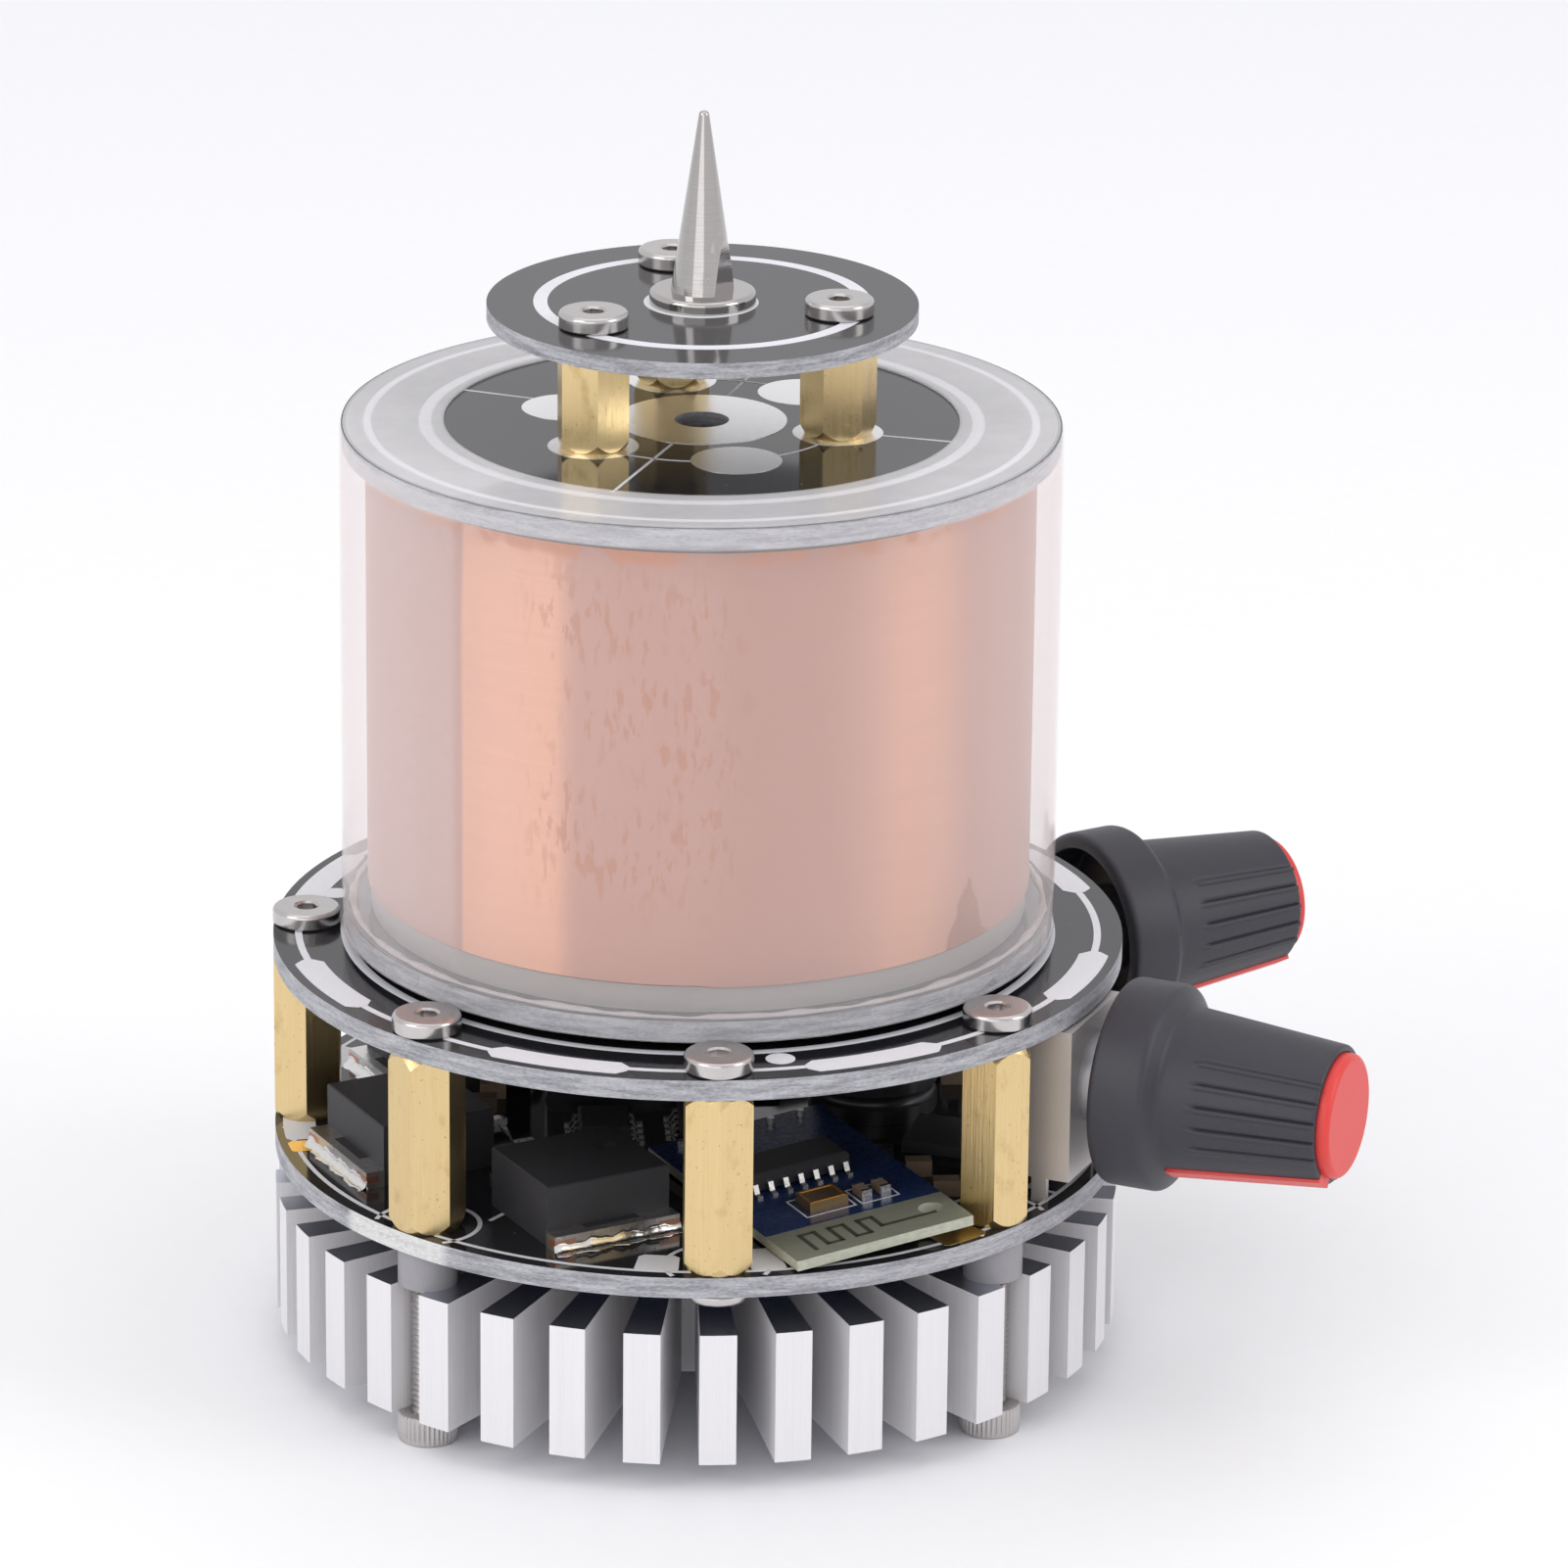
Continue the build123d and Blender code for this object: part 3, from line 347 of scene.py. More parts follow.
def copperFinish(bottom, top):
    # Enamelled wire: painted highlights in bands round it stand for the panels' reflections, the brightest over
    # -46 to -20 degrees; a painted shade band at the front; brown spots under the film.
    # Azimuth times a length gives the unrolled surface, so the lines follow the turns.
    look, paint = copperLook, Paint("woundCopper")
    azimuth, height = paint.around()
    unrolled = paint.node("CombineXYZ", {}, {0: azimuth * look["perDegree"], 1: 0.0, 2: height})
    turn = paint.noise(look["thin"], (90, 1, 1), 2.0, 0.6, unrolled)
    weave = paint.noise(look["broad"], (14, 1, 1), 3.0, 0.6, unrolled)
    slow = paint.noise(16 * mm, (1, 1, 3.5), 2.0)
    ripple = azimuth + paint.noise(5 * mm, (1, 1, 8), 2.0) * 3
    # painted highlights: a bright span and warm bands at fixed azimuths stand for the panels' reflections in the
    # wire
    starts, ends = look["highlightSpan"]
    paintedHighlight = ripple.step(*starts) * (1 - ripple.step(*ends))
    front, right, left = [ripple.band(*band) for band in look["highlightBands"]]
    highlightBands = front * 0.60 + right + left
    dull = paint.mix(slow, look["dark"], look["light"])
    colour = paint.mix((highlightBands + paintedHighlight * 0.95).step(0.0, 1.0), dull, look["paintedHighlight"])
    # painted shade: a band near the front is darkened towards the shade colour
    colour = paint.mix(ripple.band(*look["shaded"]) * 0.30, colour, look["shade"])
    colour = paint.mix(turn * 0.30 + weave * 0.22, colour, look["thread"])
    spots = paint.noise(look["spotSize"], (0.7, 0.7, 2.4), 4.0, 0.6).step(0.52, 0.59)
    middle, half = bottom + look["spotHeight"] * (top - bottom), look["spotHalf"] * (top - bottom)
    zone = azimuth.band(*look["spotAzimuths"]) * height.band(middle, half, look["spotEdge"])
    zone = zone * paint.noise(5.0 * mm, detail=2.0).step(0.34, 0.48)
    wander = paint.noise(2.4 * mm, detail=4.0, rough=0.6) * 0.9
    slope = 1.35 - abs(azimuth - look["patchAzimuth"]) / look["patchDegrees"]
    patch = (slope - (height - bottom) / look["patchHeight"] - wander).step(0.0, 0.12)
    rim = (height - top + look["rimHeight"]).step(-0.6 * mm, 0.6 * mm)
    rim = rim * paint.noise(2.6 * mm, detail=2.0).step(0.35, 0.6)
    colour = paint.mix((spots * zone * 0.55).step(0.0, 1.0), colour, look["spot"])
    colour = paint.mix((patch * 0.65).step(0.0, 1.0), colour, look["patch"])
    colour = paint.mix((rim * 0.75).step(0.0, 1.0), colour, look["rim"])
    return paint.finish(colour, 0.50 + weave * 0.1, 0.45, paint.bump(weave, look["depth"]))


filmLook = {"clear": (0.93, 0.91, 0.93), "edge": (0.90, 0.78, 0.76), "crease": 1.3 * mm, "cloud": 2.2 * mm,
            "haze": 14 * mm, "foot": (1.5 * mm, 4.5 * mm), "loose": ((-112, -90), (-46, -43), (58, 76)),
            "looseAndSheenHeight": (2 * mm, 7 * mm), "shoulder": 1.9 * mm, "depth": 0.10 * mm}


def filmFinish(bottom, top):  # shrink film, clear on the side and milky where it is folded over and creased
    look, paint = filmLook, Paint("shrinkFilm")
    azimuth, height = paint.around()
    folded = abs(paint.up()).step(0.25, 0.8) * (height - top + 3 * mm).step(0.0, 1 * mm)
    crease = paint.noise(look["crease"], (5, 5, 1), 4.0, 0.6)
    footStart, footEnd = look["foot"]
    foot = 1 - height.step(bottom + footStart, bottom + footEnd)
    haze = paint.noise(look["haze"], (1, 1, 5), 2.0)
    # milkier and pinker where seen edge-on: partly the film's own haze, partly a painted reflection
    edgeOnSheen = paint.node("LayerWeight", {}, {"Blend": 0.5}, "Facing") ** 2.0
    cloud = paint.noise(look["cloud"], (2, 2, 1), 3.0, 0.6)
    # milkier bands at given azimuths above the foot: partly loose film, partly a painted reflection of the panels
    # in the film
    leftStart, leftEnd, right = look["loose"]
    loose = azimuth.step(*leftStart) * (1 - azimuth.step(*leftEnd)) + azimuth.step(*right) * 0.6
    looseAndSheenStart, looseAndSheenEnd = look["looseAndSheenHeight"]
    loose = loose * height.step(bottom + looseAndSheenStart, bottom + looseAndSheenEnd)
    shoulder = (height - top + look["shoulder"]).step(0.0, 0.5 * mm) * (1 - folded)
    alpha = 0.04 + haze * 0.06 + edgeOnSheen * 0.27 + folded * (0.13 + cloud * 0.12)
    alpha = alpha + foot * (crease * 0.14) + loose * 0.06 + shoulder * 0.10
    colour = paint.mix(edgeOnSheen * (1 - folded), look["clear"], look["edge"])
    relief = paint.bump(crease * foot + cloud * 0.15, look["depth"])
    return paint.finish(colour, 0.10 + foot * 0.12 + folded * 0.12, 0.0, relief, alpha)


def plainFinish(name, dark, light, rough, spread, grain, depth, metal=0.0, stretch=(1, 1, 1)):
    # Two close tones of one colour in a fine grain, its size and depth in mm; spread is how rough varies
    paint = Paint(name)
    speck = paint.noise(grain * mm, stretch, 4.0, 0.6)
    cloud = paint.noise(grain * mm * 14, detail=2.0)
    colour = paint.mix(speck * 0.55 + cloud * 0.45, dark, light)
    return paint.finish(colour, rough + speck * spread, metal, paint.bump(speck, depth * mm))


radio = {"azimuth": 23.5, "front": 31.6 * mm, "width": 14.7 * mm, "tilt": 4.3, "bare": 5.2 * mm,
         "gap": 0.2 * mm, "thick": 0.8 * mm, "face": 0.5 * mm, "weave": 0.25 * mm, "depth": 0.01 * mm,
         "blueDark": (0.010, 0.024, 0.085), "blueLight": (0.018, 0.038, 0.12),
         "glassDark": (0.17, 0.175, 0.135), "glassLight": (0.25, 0.255, 0.20),
         "sawnDark": (0.28, 0.29, 0.22), "sawnLight": (0.52, 0.53, 0.44)}
boardTop = high("lower_board").z


def onRadio(points):
    # Places on the radio module: x from its front edge, y up its tilted width, z above its top
    turn = Matrix.Translation(polar(radio["front"], radio["azimuth"], boardTop + radio["gap"]))
    turn = turn @ Matrix.Rotation(radians(radio["azimuth"] - 90), 4, "Z")
    turn = turn @ Matrix.Translation((0, -radio["width"] / 2, 0))
    turn = turn @ Matrix.Rotation(radians(radio["tilt"]), 4, "X")
    turn = np.array(turn @ Matrix.Translation((0, 0, radio["thick"])))
    return points @ turn[:3, :3].T + turn[:3, 3]


def radioFinish():  # dark blue lacquer, bare laminate along the front edge
    paint = Paint("radioLaminate")
    corner = onRadio(np.zeros(3)).tolist()
    local = paint.xyz(paint.turned(radio["azimuth"] - 90, corner, radio["tilt"]))
    strip = (local[0] + radio["bare"]).step(-0.03 * mm, 0.03 * mm)
    face = paint.noise(radio["face"])
    weave = paint.noise(radio["weave"], (4, 1, 1))
    side = 1 - abs(paint.up()).step(0.8, 0.9)
    blue = paint.mix(face, radio["blueDark"], radio["blueLight"])
    glass = paint.mix(weave, radio["glassDark"], radio["glassLight"])
    sawn = paint.mix(weave, radio["sawnDark"], radio["sawnLight"])
    colour = paint.mix(side, paint.mix(strip, blue, glass), sawn)
    return paint.finish(colour, 0.22 + strip * 0.2 + side * 0.3, 0.0, paint.bump(face, radio["depth"]))


print("finishes")
coilBottom, coilTop = low("coil_bottom_board").z, high("coil_top_board").z
windingBottom, windingTop = low("secondary_winding").z, high("secondary_winding").z
board = boardFinish("blackBoard", False)
ink = inkFinish()
nickel = nickelFinish()
copper = copperFinish(windingBottom, windingTop)
film = filmFinish(coilBottom, coilTop)

plainLooks = {  # dark and light tone, roughness and its spread, grain and its depth in mm, metal, stretch
    "naturalNylon": ((0.25, 0.245, 0.26), (0.33, 0.32, 0.34), 0.35, 0.1, 0.8, 0.01),
    "thermalPadBlue": ((0.018, 0.035, 0.13), (0.03, 0.05, 0.18), 0.5, 0.2, 0.4, 0.03),
    "formerGrey": ((0.30, 0.27, 0.255), (0.40, 0.37, 0.35), 0.35, 0.2, 0.5, 0.02, 0.0, (6, 6, 1)),
    "glueBead": ((0.38, 0.34, 0.33), (0.54, 0.49, 0.48), 0.3, 0.2, 0.5, 0.05),
    "mouldedEpoxy": ((0.022, 0.021, 0.025), (0.034, 0.033, 0.038), 0.48, 0.18, 0.12, 0.02),
    "tinnedContact": ((0.62, 0.60, 0.58), (0.86, 0.84, 0.82), 0.18, 0.26, 0.35, 0.03, 1.0),
    "platedPad": ((0.92, 0.91, 0.92), (0.97, 0.96, 0.97), 0.24, 0.12, 0.5, 0.01, 1.0),
    "cutCopper": ((0.60, 0.30, 0.20), (0.80, 0.46, 0.34), 0.3, 0.2, 0.2, 0.02, 1.0),
    "solder": ((0.66, 0.65, 0.64), (0.88, 0.87, 0.86), 0.14, 0.2, 0.6, 0.05, 1.0),
    "giltPad": ((0.62, 0.42, 0.14), (0.80, 0.58, 0.24), 0.22, 0.2, 0.6, 0.01, 1.0),
    "antennaTrace": ((0.045, 0.04, 0.03), (0.075, 0.07, 0.05), 0.3, 0.1, 0.3, 0.01),
    "crystalLid": ((0.40, 0.27, 0.14), (0.52, 0.37, 0.20), 0.30, 0.1, 0.4, 0.01, 1.0),
    "crystalRim": ((0.85, 0.42, 0.08), (0.95, 0.55, 0.14), 0.3, 0.1, 0.4, 0.01, 1.0),
    "firedCeramic": ((0.16, 0.11, 0.08), (0.30, 0.22, 0.15), 0.4, 0.2, 0.3, 0.02),
    "blackSleeve": ((0.012, 0.012, 0.014), (0.022, 0.022, 0.026), 0.25, 0.15, 0.6, 0.02),
    "inletBlack": ((0.016, 0.016, 0.017), (0.030, 0.030, 0.032), 0.38, 0.2, 0.3, 0.02),
    "potCan": ((0.50, 0.465, 0.455), (0.60, 0.565, 0.555), 0.42, 0.10, 0.25, 0.01, 0.5),
    "potBushing": ((0.36, 0.36, 0.38), (0.50, 0.50, 0.52), 0.3, 0.15, 0.3, 0.01, 1.0),
    "phenolic": ((0.10, 0.05, 0.025), (0.17, 0.09, 0.045), 0.45, 0.2, 0.4, 0.02),
    "shaftPlastic": ((0.10, 0.10, 0.11), (0.15, 0.15, 0.16), 0.4, 0.15, 0.3, 0.01),
    "knobBlack": ((0.022, 0.0215, 0.030), (0.033, 0.032, 0.042), 0.36, 0.16, 0.10, 0.02),
    "knobRed": ((0.62, 0.035, 0.030), (0.70, 0.045, 0.036), 0.34, 0.12, 0.3, 0.01)}
plain = {name: plainFinish(name, *look) for name, look in plainLooks.items()}
epoxy, bushing = plain["mouldedEpoxy"], plain["potBushing"]

slotFinish = {  # for each of the record's slots; below it the nodes that differ from their slot
    "sink_aluminium": sinkFinish(), "screw_nickel": nickel, "spacer_nylon": plain["naturalNylon"],
    "pad_silicone": plain["thermalPadBlue"], "board_black": board, "column_brass": brassFinish(),
    "former_plastic": plain["formerGrey"], "winding_copper": copper, "film_clear": film,
    "spike_steel": spikeFinish(), "package_black": epoxy, "contact_tin": plain["tinnedContact"],
    "radio_navy": radioFinish(), "crystal_case": plain["crystalLid"], "ceramic_tan": plain["firedCeramic"],
    "sleeve_black": plain["blackSleeve"], "inlet_black": plain["inletBlack"], "pot_metal": plain["potCan"],
    "pot_phenolic": plain["phenolic"], "shaft_plastic": plain["shaftPlastic"],
    "knob_black": plain["knobBlack"], "knob_red": plain["knobRed"]}
nodeFinish = {"lower_board": boardFinish("blackBoardWithTab", True), "front_pot_bushing": bushing,
              "rear_pot_bushing": bushing}
for part in frame["record"]["subparts"]:
    node = nodes[part["node"]]
    node.data.materials.clear()
    node.data.materials.append(nodeFinish.get(part["node"], slotFinish[part["material_slot"]]))
print("carried nodes dressed", len(nodes))

winding = {"pitch": 0.15 * mm, "rowsPerTurn": 3, "columns": 120, "ridge": 0.0006 * mm, "thick": 0.22 * mm}


def makeWinding():  # helix of fine turns: the radius dips once in each pitch, and a turn climbs one pitch
    outer, columns = high("secondary_winding").x, winding["columns"]
    turns = int((windingTop - windingBottom) / winding["pitch"])
    rows = turns * winding["rowsPerTurn"]
    row, column = np.meshgrid(np.arange(rows + 1), np.arange(columns), indexing="ij")
    phase = row / winding["rowsPerTurn"]
    height = windingBottom + (phase + column / columns) * winding["pitch"]
    height = np.clip(height, windingBottom, windingTop)
    radius = outer - winding["ridge"] * (0.5 - 0.5 * np.cos(2 * pi * phase))
    azimuth = column * 360.0 / columns
    first, last = [polar(outer - winding["thick"], azimuth[:1], end) for end in (windingBottom, windingTop)]
    grid = np.concatenate([first, polar(radius, azimuth, height), last])
    piece = meshPiece("windingTurns", grid, gridFaces(rows + 3, columns, True), copper)
    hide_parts("secondary_winding")


filmShape = {"thick": 0.12 * mm, "columns": 300, "round": 0.75 * mm, "foldInner": 19.35 * mm,
             "footShare": 0.11, "sideShare": 0.12, "drawnIn": 0.12 * mm, "crease": 0.11 * mm,
             "sideWave": 0.02 * mm, "foldWave": 0.03 * mm, "seams": (-43.7, 180.0), "seamWidth": 0.7,
             "seamHeight": 0.07 * mm}


def makeFilm():
    # Profile: up the side, over a rounded shoulder, in over the top board; creased where drawn in below.
    # Waves of the angle and the height give the creases and ripples, and a bell curve of the angle each seam.
    outer, bottom, top = high("coil_film").x, low("coil_film").z, high("coil_film").z
    bend, columns = filmShape["round"], filmShape["columns"]
    side = np.concatenate([np.linspace(0, 0.14, 22), np.linspace(0.16, 1.0, 34)])
    arc = np.linspace(0, pi / 2, 8)[1:]
    fold = np.linspace(outer - bend, filmShape["foldInner"], 26)[1:]
    radius = np.concatenate([np.full(len(side), outer), outer - bend + bend * np.cos(arc), fold])
    height = np.concatenate([bottom + (top - bend - bottom) * side, top - bend + bend * np.sin(arc),
                             np.full(len(fold), top)])
    azimuth = np.arange(columns)[None, :] * 360.0 / columns
    radius = np.repeat(radius[:, None], columns, 1)
    height = np.repeat(height[:, None], columns, 1)
    turn = np.radians(azimuth)
    rise = (height - bottom) / (top - bottom)
    foot = np.clip(1 - rise / filmShape["footShare"], 0, 1) * (rise > 0.004)
    crease = np.sin(9 * turn + 14 * rise) * 0.5 + np.sin(23 * turn - 40 * rise + 1) * 0.3
    crease = crease + np.sin(41 * turn + 2) * 0.2
    radius = radius - foot * (filmShape["drawnIn"] + filmShape["crease"] * crease)
    ripple = (np.sin(13 * turn + 2) + np.sin(29 * turn)) * 0.5
    onSide = (height < top - bend * 0.9) & (rise > filmShape["sideShare"])
    radius = radius - onSide * filmShape["sideWave"] * (1 + ripple)
    for seam in filmShape["seams"]:
        away = (azimuth - seam + 180) % 360 - 180
        radius = radius - onSide * filmShape["seamHeight"] * np.exp(-(away / filmShape["seamWidth"]) ** 2)
    onFold = height > top - 1e-6
    height = height - onFold * filmShape["foldWave"] * (1 + np.sin(7 * turn + radius / mm)) / 2
    grid = polar(radius, azimuth, height)
    piece = meshPiece("shrinkFilm", grid, gridFaces(len(radius), columns, True), film)
    solid = piece.modifiers.new("wall", "SOLIDIFY")
    solid.thickness = filmShape["thick"]
    solid.offset = -1.0
    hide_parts("coil_film")


glue = {"radius": 26.35 * mm, "thick": 0.34 * mm, "columns": 240, "rows": 10, "wide": 0.8, "tall": 0.5,
        "lift": 0.3}


def makeGlue():  # bead round the former's foot: an oval whose thickness waves with the angle
    turn = np.arange(glue["columns"]) * 2 * pi / glue["columns"]
    wave = 1 + 0.25 * np.sin(11 * turn) + 0.2 * np.sin(27 * turn + 1) + 0.15 * np.sin(53 * turn + 2)
    around = np.arange(glue["rows"] + 1)[:, None] * 2 * pi / glue["rows"]
    thick = glue["thick"] * wave[None, :]
    radius = glue["radius"] + thick * np.cos(around) * glue["wide"]
    height = high("coil_bottom_board").z + thick * (glue["lift"] + glue["tall"] * np.sin(around))
    grid = polar(radius, np.degrees(turn)[None, :], height)
    faces = gridFaces(glue["rows"] + 1, glue["columns"], True)
    meshPiece("coilGlueBead", grid, faces, plain["glueBead"])


makeWinding()
makeFilm()
makeGlue()
print("coil")

inkThick = 0.02 * mm
upperPrint = {"line": (30.3, 30.85), "coilRing": (26.6, 27.35), "bar": (29.5, 31.75), "bars": 8,
              "barHalf": 10.2, "barFirst": 22.3, "barCorner": 0.75, "dots": ((28.6, 9.3), (28.8, -106.5)),
              "dotRadius": 1.1}


def ring(radii, bottom, steps=180):  # printed circle between two radii in mm
    return sector(radii[0] * mm, radii[1] * mm, 0, 360, bottom, bottom + inkThick, steps=steps)


def spoke(start, end, width, bottom, thick):  # printed stroke between two (radius in mm, azimuth)
    places = [polar(radius * mm, azimuth, 0)[:2] for radius, azimuth in (start, end)]
    return bar(*places, width * mm, bottom, bottom + thick)


def printUpperBoard():  # line, ring round the coil, eight rounded bars and two dots
    z = high("upper_board").z
    grids = [ring(upperPrint["line"], z), ring(upperPrint["coilRing"], z)]
    inner, outer = [radius * mm for radius in upperPrint["bar"]]
    half, corner = upperPrint["barHalf"], upperPrint["barCorner"] * mm
    for number in range(upperPrint["bars"]):
        middle = upperPrint["barFirst"] + 360 / upperPrint["bars"] * number
        grids.append(sector(inner, outer, middle - half, middle + half, z, z + inkThick * 1.4, corner, 60))
    for radius, azimuth in upperPrint["dots"]:
        x, y, _ = polar(radius * mm, azimuth, 0)
        grids.append(disc(x, y, upperPrint["dotRadius"] * mm, z, z + inkThick))
    mergedPiece("upperBoardPrint", grids, ink)


capPrint = {"rings": ((20.3, 21.25), (24.8, 25.4), (10.49, 10.71)), "padCircle": 10.6, "centrePad": 6.4,
            "hole": 2.05, "pad": 3.4, "pads": (-52.5, 70.5, 131, 189.5, 251, 11.0), "line": 0.24,
            "lines": ((6.3, 19.8, -22.5), (6.3, 19.8, 159.5), (13.6, 19.8, -115.0), (13.6, 19.8, 71.4))}


def printCoilTop():  # three rings and four lines in white, a plated pad in the middle and six round it
    z = high("coil_top_board").z
    grids = [ring(radii, z) for radii in capPrint["rings"]]
    pads = [disc(0, 0, capPrint["centrePad"] * mm, z, z + inkThick * 1.5, 72, capPrint["hole"] * mm)]
    for azimuth in capPrint["pads"]:
        x, y, _ = polar(capPrint["padCircle"] * mm, azimuth, 0)
        pads.append(disc(x, y, capPrint["pad"] * mm, z, z + inkThick * 1.2))
    for start, end, azimuth in capPrint["lines"]:
        grids.append(spoke((start, azimuth), (end, azimuth), capPrint["line"], z, inkThick))
    mergedPiece("coilTopPrint", grids, ink)
    mergedPiece("coilTopPads", pads, plain["platedPad"])


discPrint = {"ring": (11.6, 12.65), "pad": 4.3, "padX": -0.12, "padY": -0.1}


def printDisc():  # ring, and a dot under the spike
    z = high("top_disc").z
    dot = disc(discPrint["padX"] * mm, discPrint["padY"] * mm, discPrint["pad"] * mm, z, z + inkThick)
    mergedPiece("topDiscPrint", [ring(discPrint["ring"], z, 144), dot], ink)


lowerPrint = {  # radii in mm and azimuths in degrees; a patch is two radii and two azimuths
    "line": (31.15, 31.5), "edge": 32.3, "columns": (0, 45, 135, 180, 225, 266, 315), "columnCircle": 30,
    "columnRing": (3.75, 4.1),
    "patches": ((28.3, 31.4, -11.5, -5.4), (27.2, 31.4, 4.6, 9.5), (29.4, 31.9, -92.0, -82.5),
                (29.6, 31.6, 100.0, 106.0), (29.4, 31.6, 160.0, 172.0), (29.4, 31.6, 240, 252)),
    "patchCorner": 0.4, "gilt": ((29.9, 31.9, -82.0, -78.0), (29.4, 32.0, 32.5, 40.0)), "giltCorner": 0.3,
    "strokes": (((28.9, 57.4), (31.2, 57.4)), ((28.7, 64.7), (28.9, 57.4)), ((24.0, -38.5), (26.6, -38.5))),
    "stroke": 0.35}


def patches(places, corner, thick):  # strips with cut corners
    return [sector(inner * mm, outer * mm, start, end, boardTop, boardTop + thick, corner * mm, 24)
            for inner, outer, start, end in places]


def printLowerBoard():  # line at the rim, arcs round the columns where the board reaches, patches and strokes
    z, steps = boardTop, 73
    grids = [ring(lowerPrint["line"], z)]
    inner, outer = [radius * mm for radius in lowerPrint["columnRing"]]
    for azimuth in lowerPrint["columns"]:
        x, y, _ = polar(lowerPrint["columnCircle"] * mm, azimuth, 0)
        grid, faces = disc(x, y, outer, z, z + inkThick, steps, inner)
        inside = np.hypot(*grid[2, :, :2].T) < lowerPrint["edge"] * mm
        kept = inside[:-1] & inside[1:]
        grids.append((grid, faces.reshape(-1, steps - 1, 4)[:, kept].reshape(-1, 4)))
    grids += patches(lowerPrint["patches"], lowerPrint["patchCorner"], inkThick * 1.3)
    grids += [spoke(*ends, lowerPrint["stroke"], z, inkThick * 1.2) for ends in lowerPrint["strokes"]]
    mergedPiece("lowerBoardPrint", grids, ink)
    pads = patches(lowerPrint["gilt"], lowerPrint["giltCorner"], inkThick * 1.6)
    mergedPiece("lowerBoardGiltPads", pads, plain["giltPad"])


printUpperBoard()
printCoilTop()
printDisc()
printLowerBoard()
print("prints")

foot = {"circle": 30.0 * mm, "azimuths": (45, 135, 225, 315), "head": 2.3 * mm, "headHeight": 2.3 * mm,
        "edge": 0.22 * mm, "key": 1.0 * mm, "keyDepth": 0.8 * mm, "knurls": 40, "knurlDepth": 0.13 * mm,
        "shank": 1.25 * mm, "pitch": 0.45 * mm, "rowsPerTurn": 6, "depth": 0.17 * mm, "columns": 120}


def makeFootScrews():
    # Head: a knurled drum whose radius ripples with the angle, with a hexagon sunk in its foot.
    # Shank: a thread whose radius is a rounded saw of height minus turn.
    turns = np.arange(foot["columns"]) * 2 * pi / foot["columns"]
    hexagon = foot["key"] / np.cos((turns + pi / 6) % (pi / 3) - pi / 6)
    knurl = foot["knurlDepth"] * np.abs(np.sin(turns * foot["knurls"] / 2))
    even = np.ones_like(turns)
    head, edge, headTop, shank = foot["head"], foot["edge"], foot["headHeight"], foot["shank"]
    rows = [(foot["keyDepth"], 0 * even), (foot["keyDepth"], hexagon * 0.98), (0.1 * mm, hexagon),
            (0.0, hexagon * 1.04), (0.0, (head - edge) * even), (edge * 0.35, (head - edge * 0.3) * even)]
    rows += [(height * mm, head - knurl) for height in np.linspace(0.35, 2.0, 6)]
    rows += [(headTop - 0.08 * mm, (head - edge * 0.4) * even), (headTop, (head - edge) * even),
             (headTop, shank * even)]
    for height in np.arange(headTop + 0.05 * mm, low("lower_board").z, foot["pitch"] / foot["rowsPerTurn"]):
        phase = height / foot["pitch"] - turns / (2 * pi)
        saw = np.abs(2 * (phase - np.floor(phase)) - 1)
        rows.append((height, shank - foot["depth"] * np.clip(saw * 1.25 - 0.12, 0, 1)))
    top = high("foot_screws").z
    rows += [(top, (shank - foot["depth"]) * even), (top, 0 * even)]
    heights, radii = zip(*rows)
    grid, faces = lathe(heights, radii, foot["columns"])
    for number, azimuth in enumerate(foot["azimuths"]):
        centre = polar(foot["circle"], azimuth, 0.0)
        piece = meshPiece(f"footScrew{number + 1}", grid + centre, faces, nickel)
        sharpen(piece, 50)
        if number == 0:
            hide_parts("foot_screws")


makeFootScrews()
print("feet")

knob = {"length": 17.2 * mm, "skirt": 7.9 * mm, "skirtLength": 4.2 * mm, "shoulder": 0.9 * mm,
        "base": 6.4 * mm, "end": 5.3 * mm, "cavity": 6.7 * mm, "cavityDepth": 3.3 * mm, "bore": 3.02 * mm,
        "seat": 16.1 * mm, "capRoom": 4.78 * mm, "gripRows": 34, "angleStep": 1.5, "pointer": 2.26 * mm,
        "rounds": np.array([0.3, 0.2, 0.6, 0.45, 0.35, 0.3, 0.08, 0.05]) * mm, "slot": 0.6 * mm,
        "turn": 150.0, "ribs": (36.0, 52.5, 69.0, 85.5, 102.0), "ribStart": 7.4 * mm,
        "ribHeight": 0.14 * mm, "ribWidth": 1.9, "lastRib": 1.6, "grooveDepth": 0.16 * mm,
        "grooveAway": 2.6, "grooveWidth": 0.9}


def rounded(corner, before, after, radius, steps=6):  # a profile's corner, rounded along a quadratic curve
    corner, before, after = (np.array(point, float) for point in (corner, before, after))
    start = corner + (before - corner) / np.linalg.norm(before - corner) * radius
    end = corner + (after - corner) / np.linalg.norm(after - corner) * radius
    share = np.linspace(0, 1, steps)[:, None]
    return (1 - share) ** 2 * start + 2 * share * (1 - share) * corner + share ** 2 * end


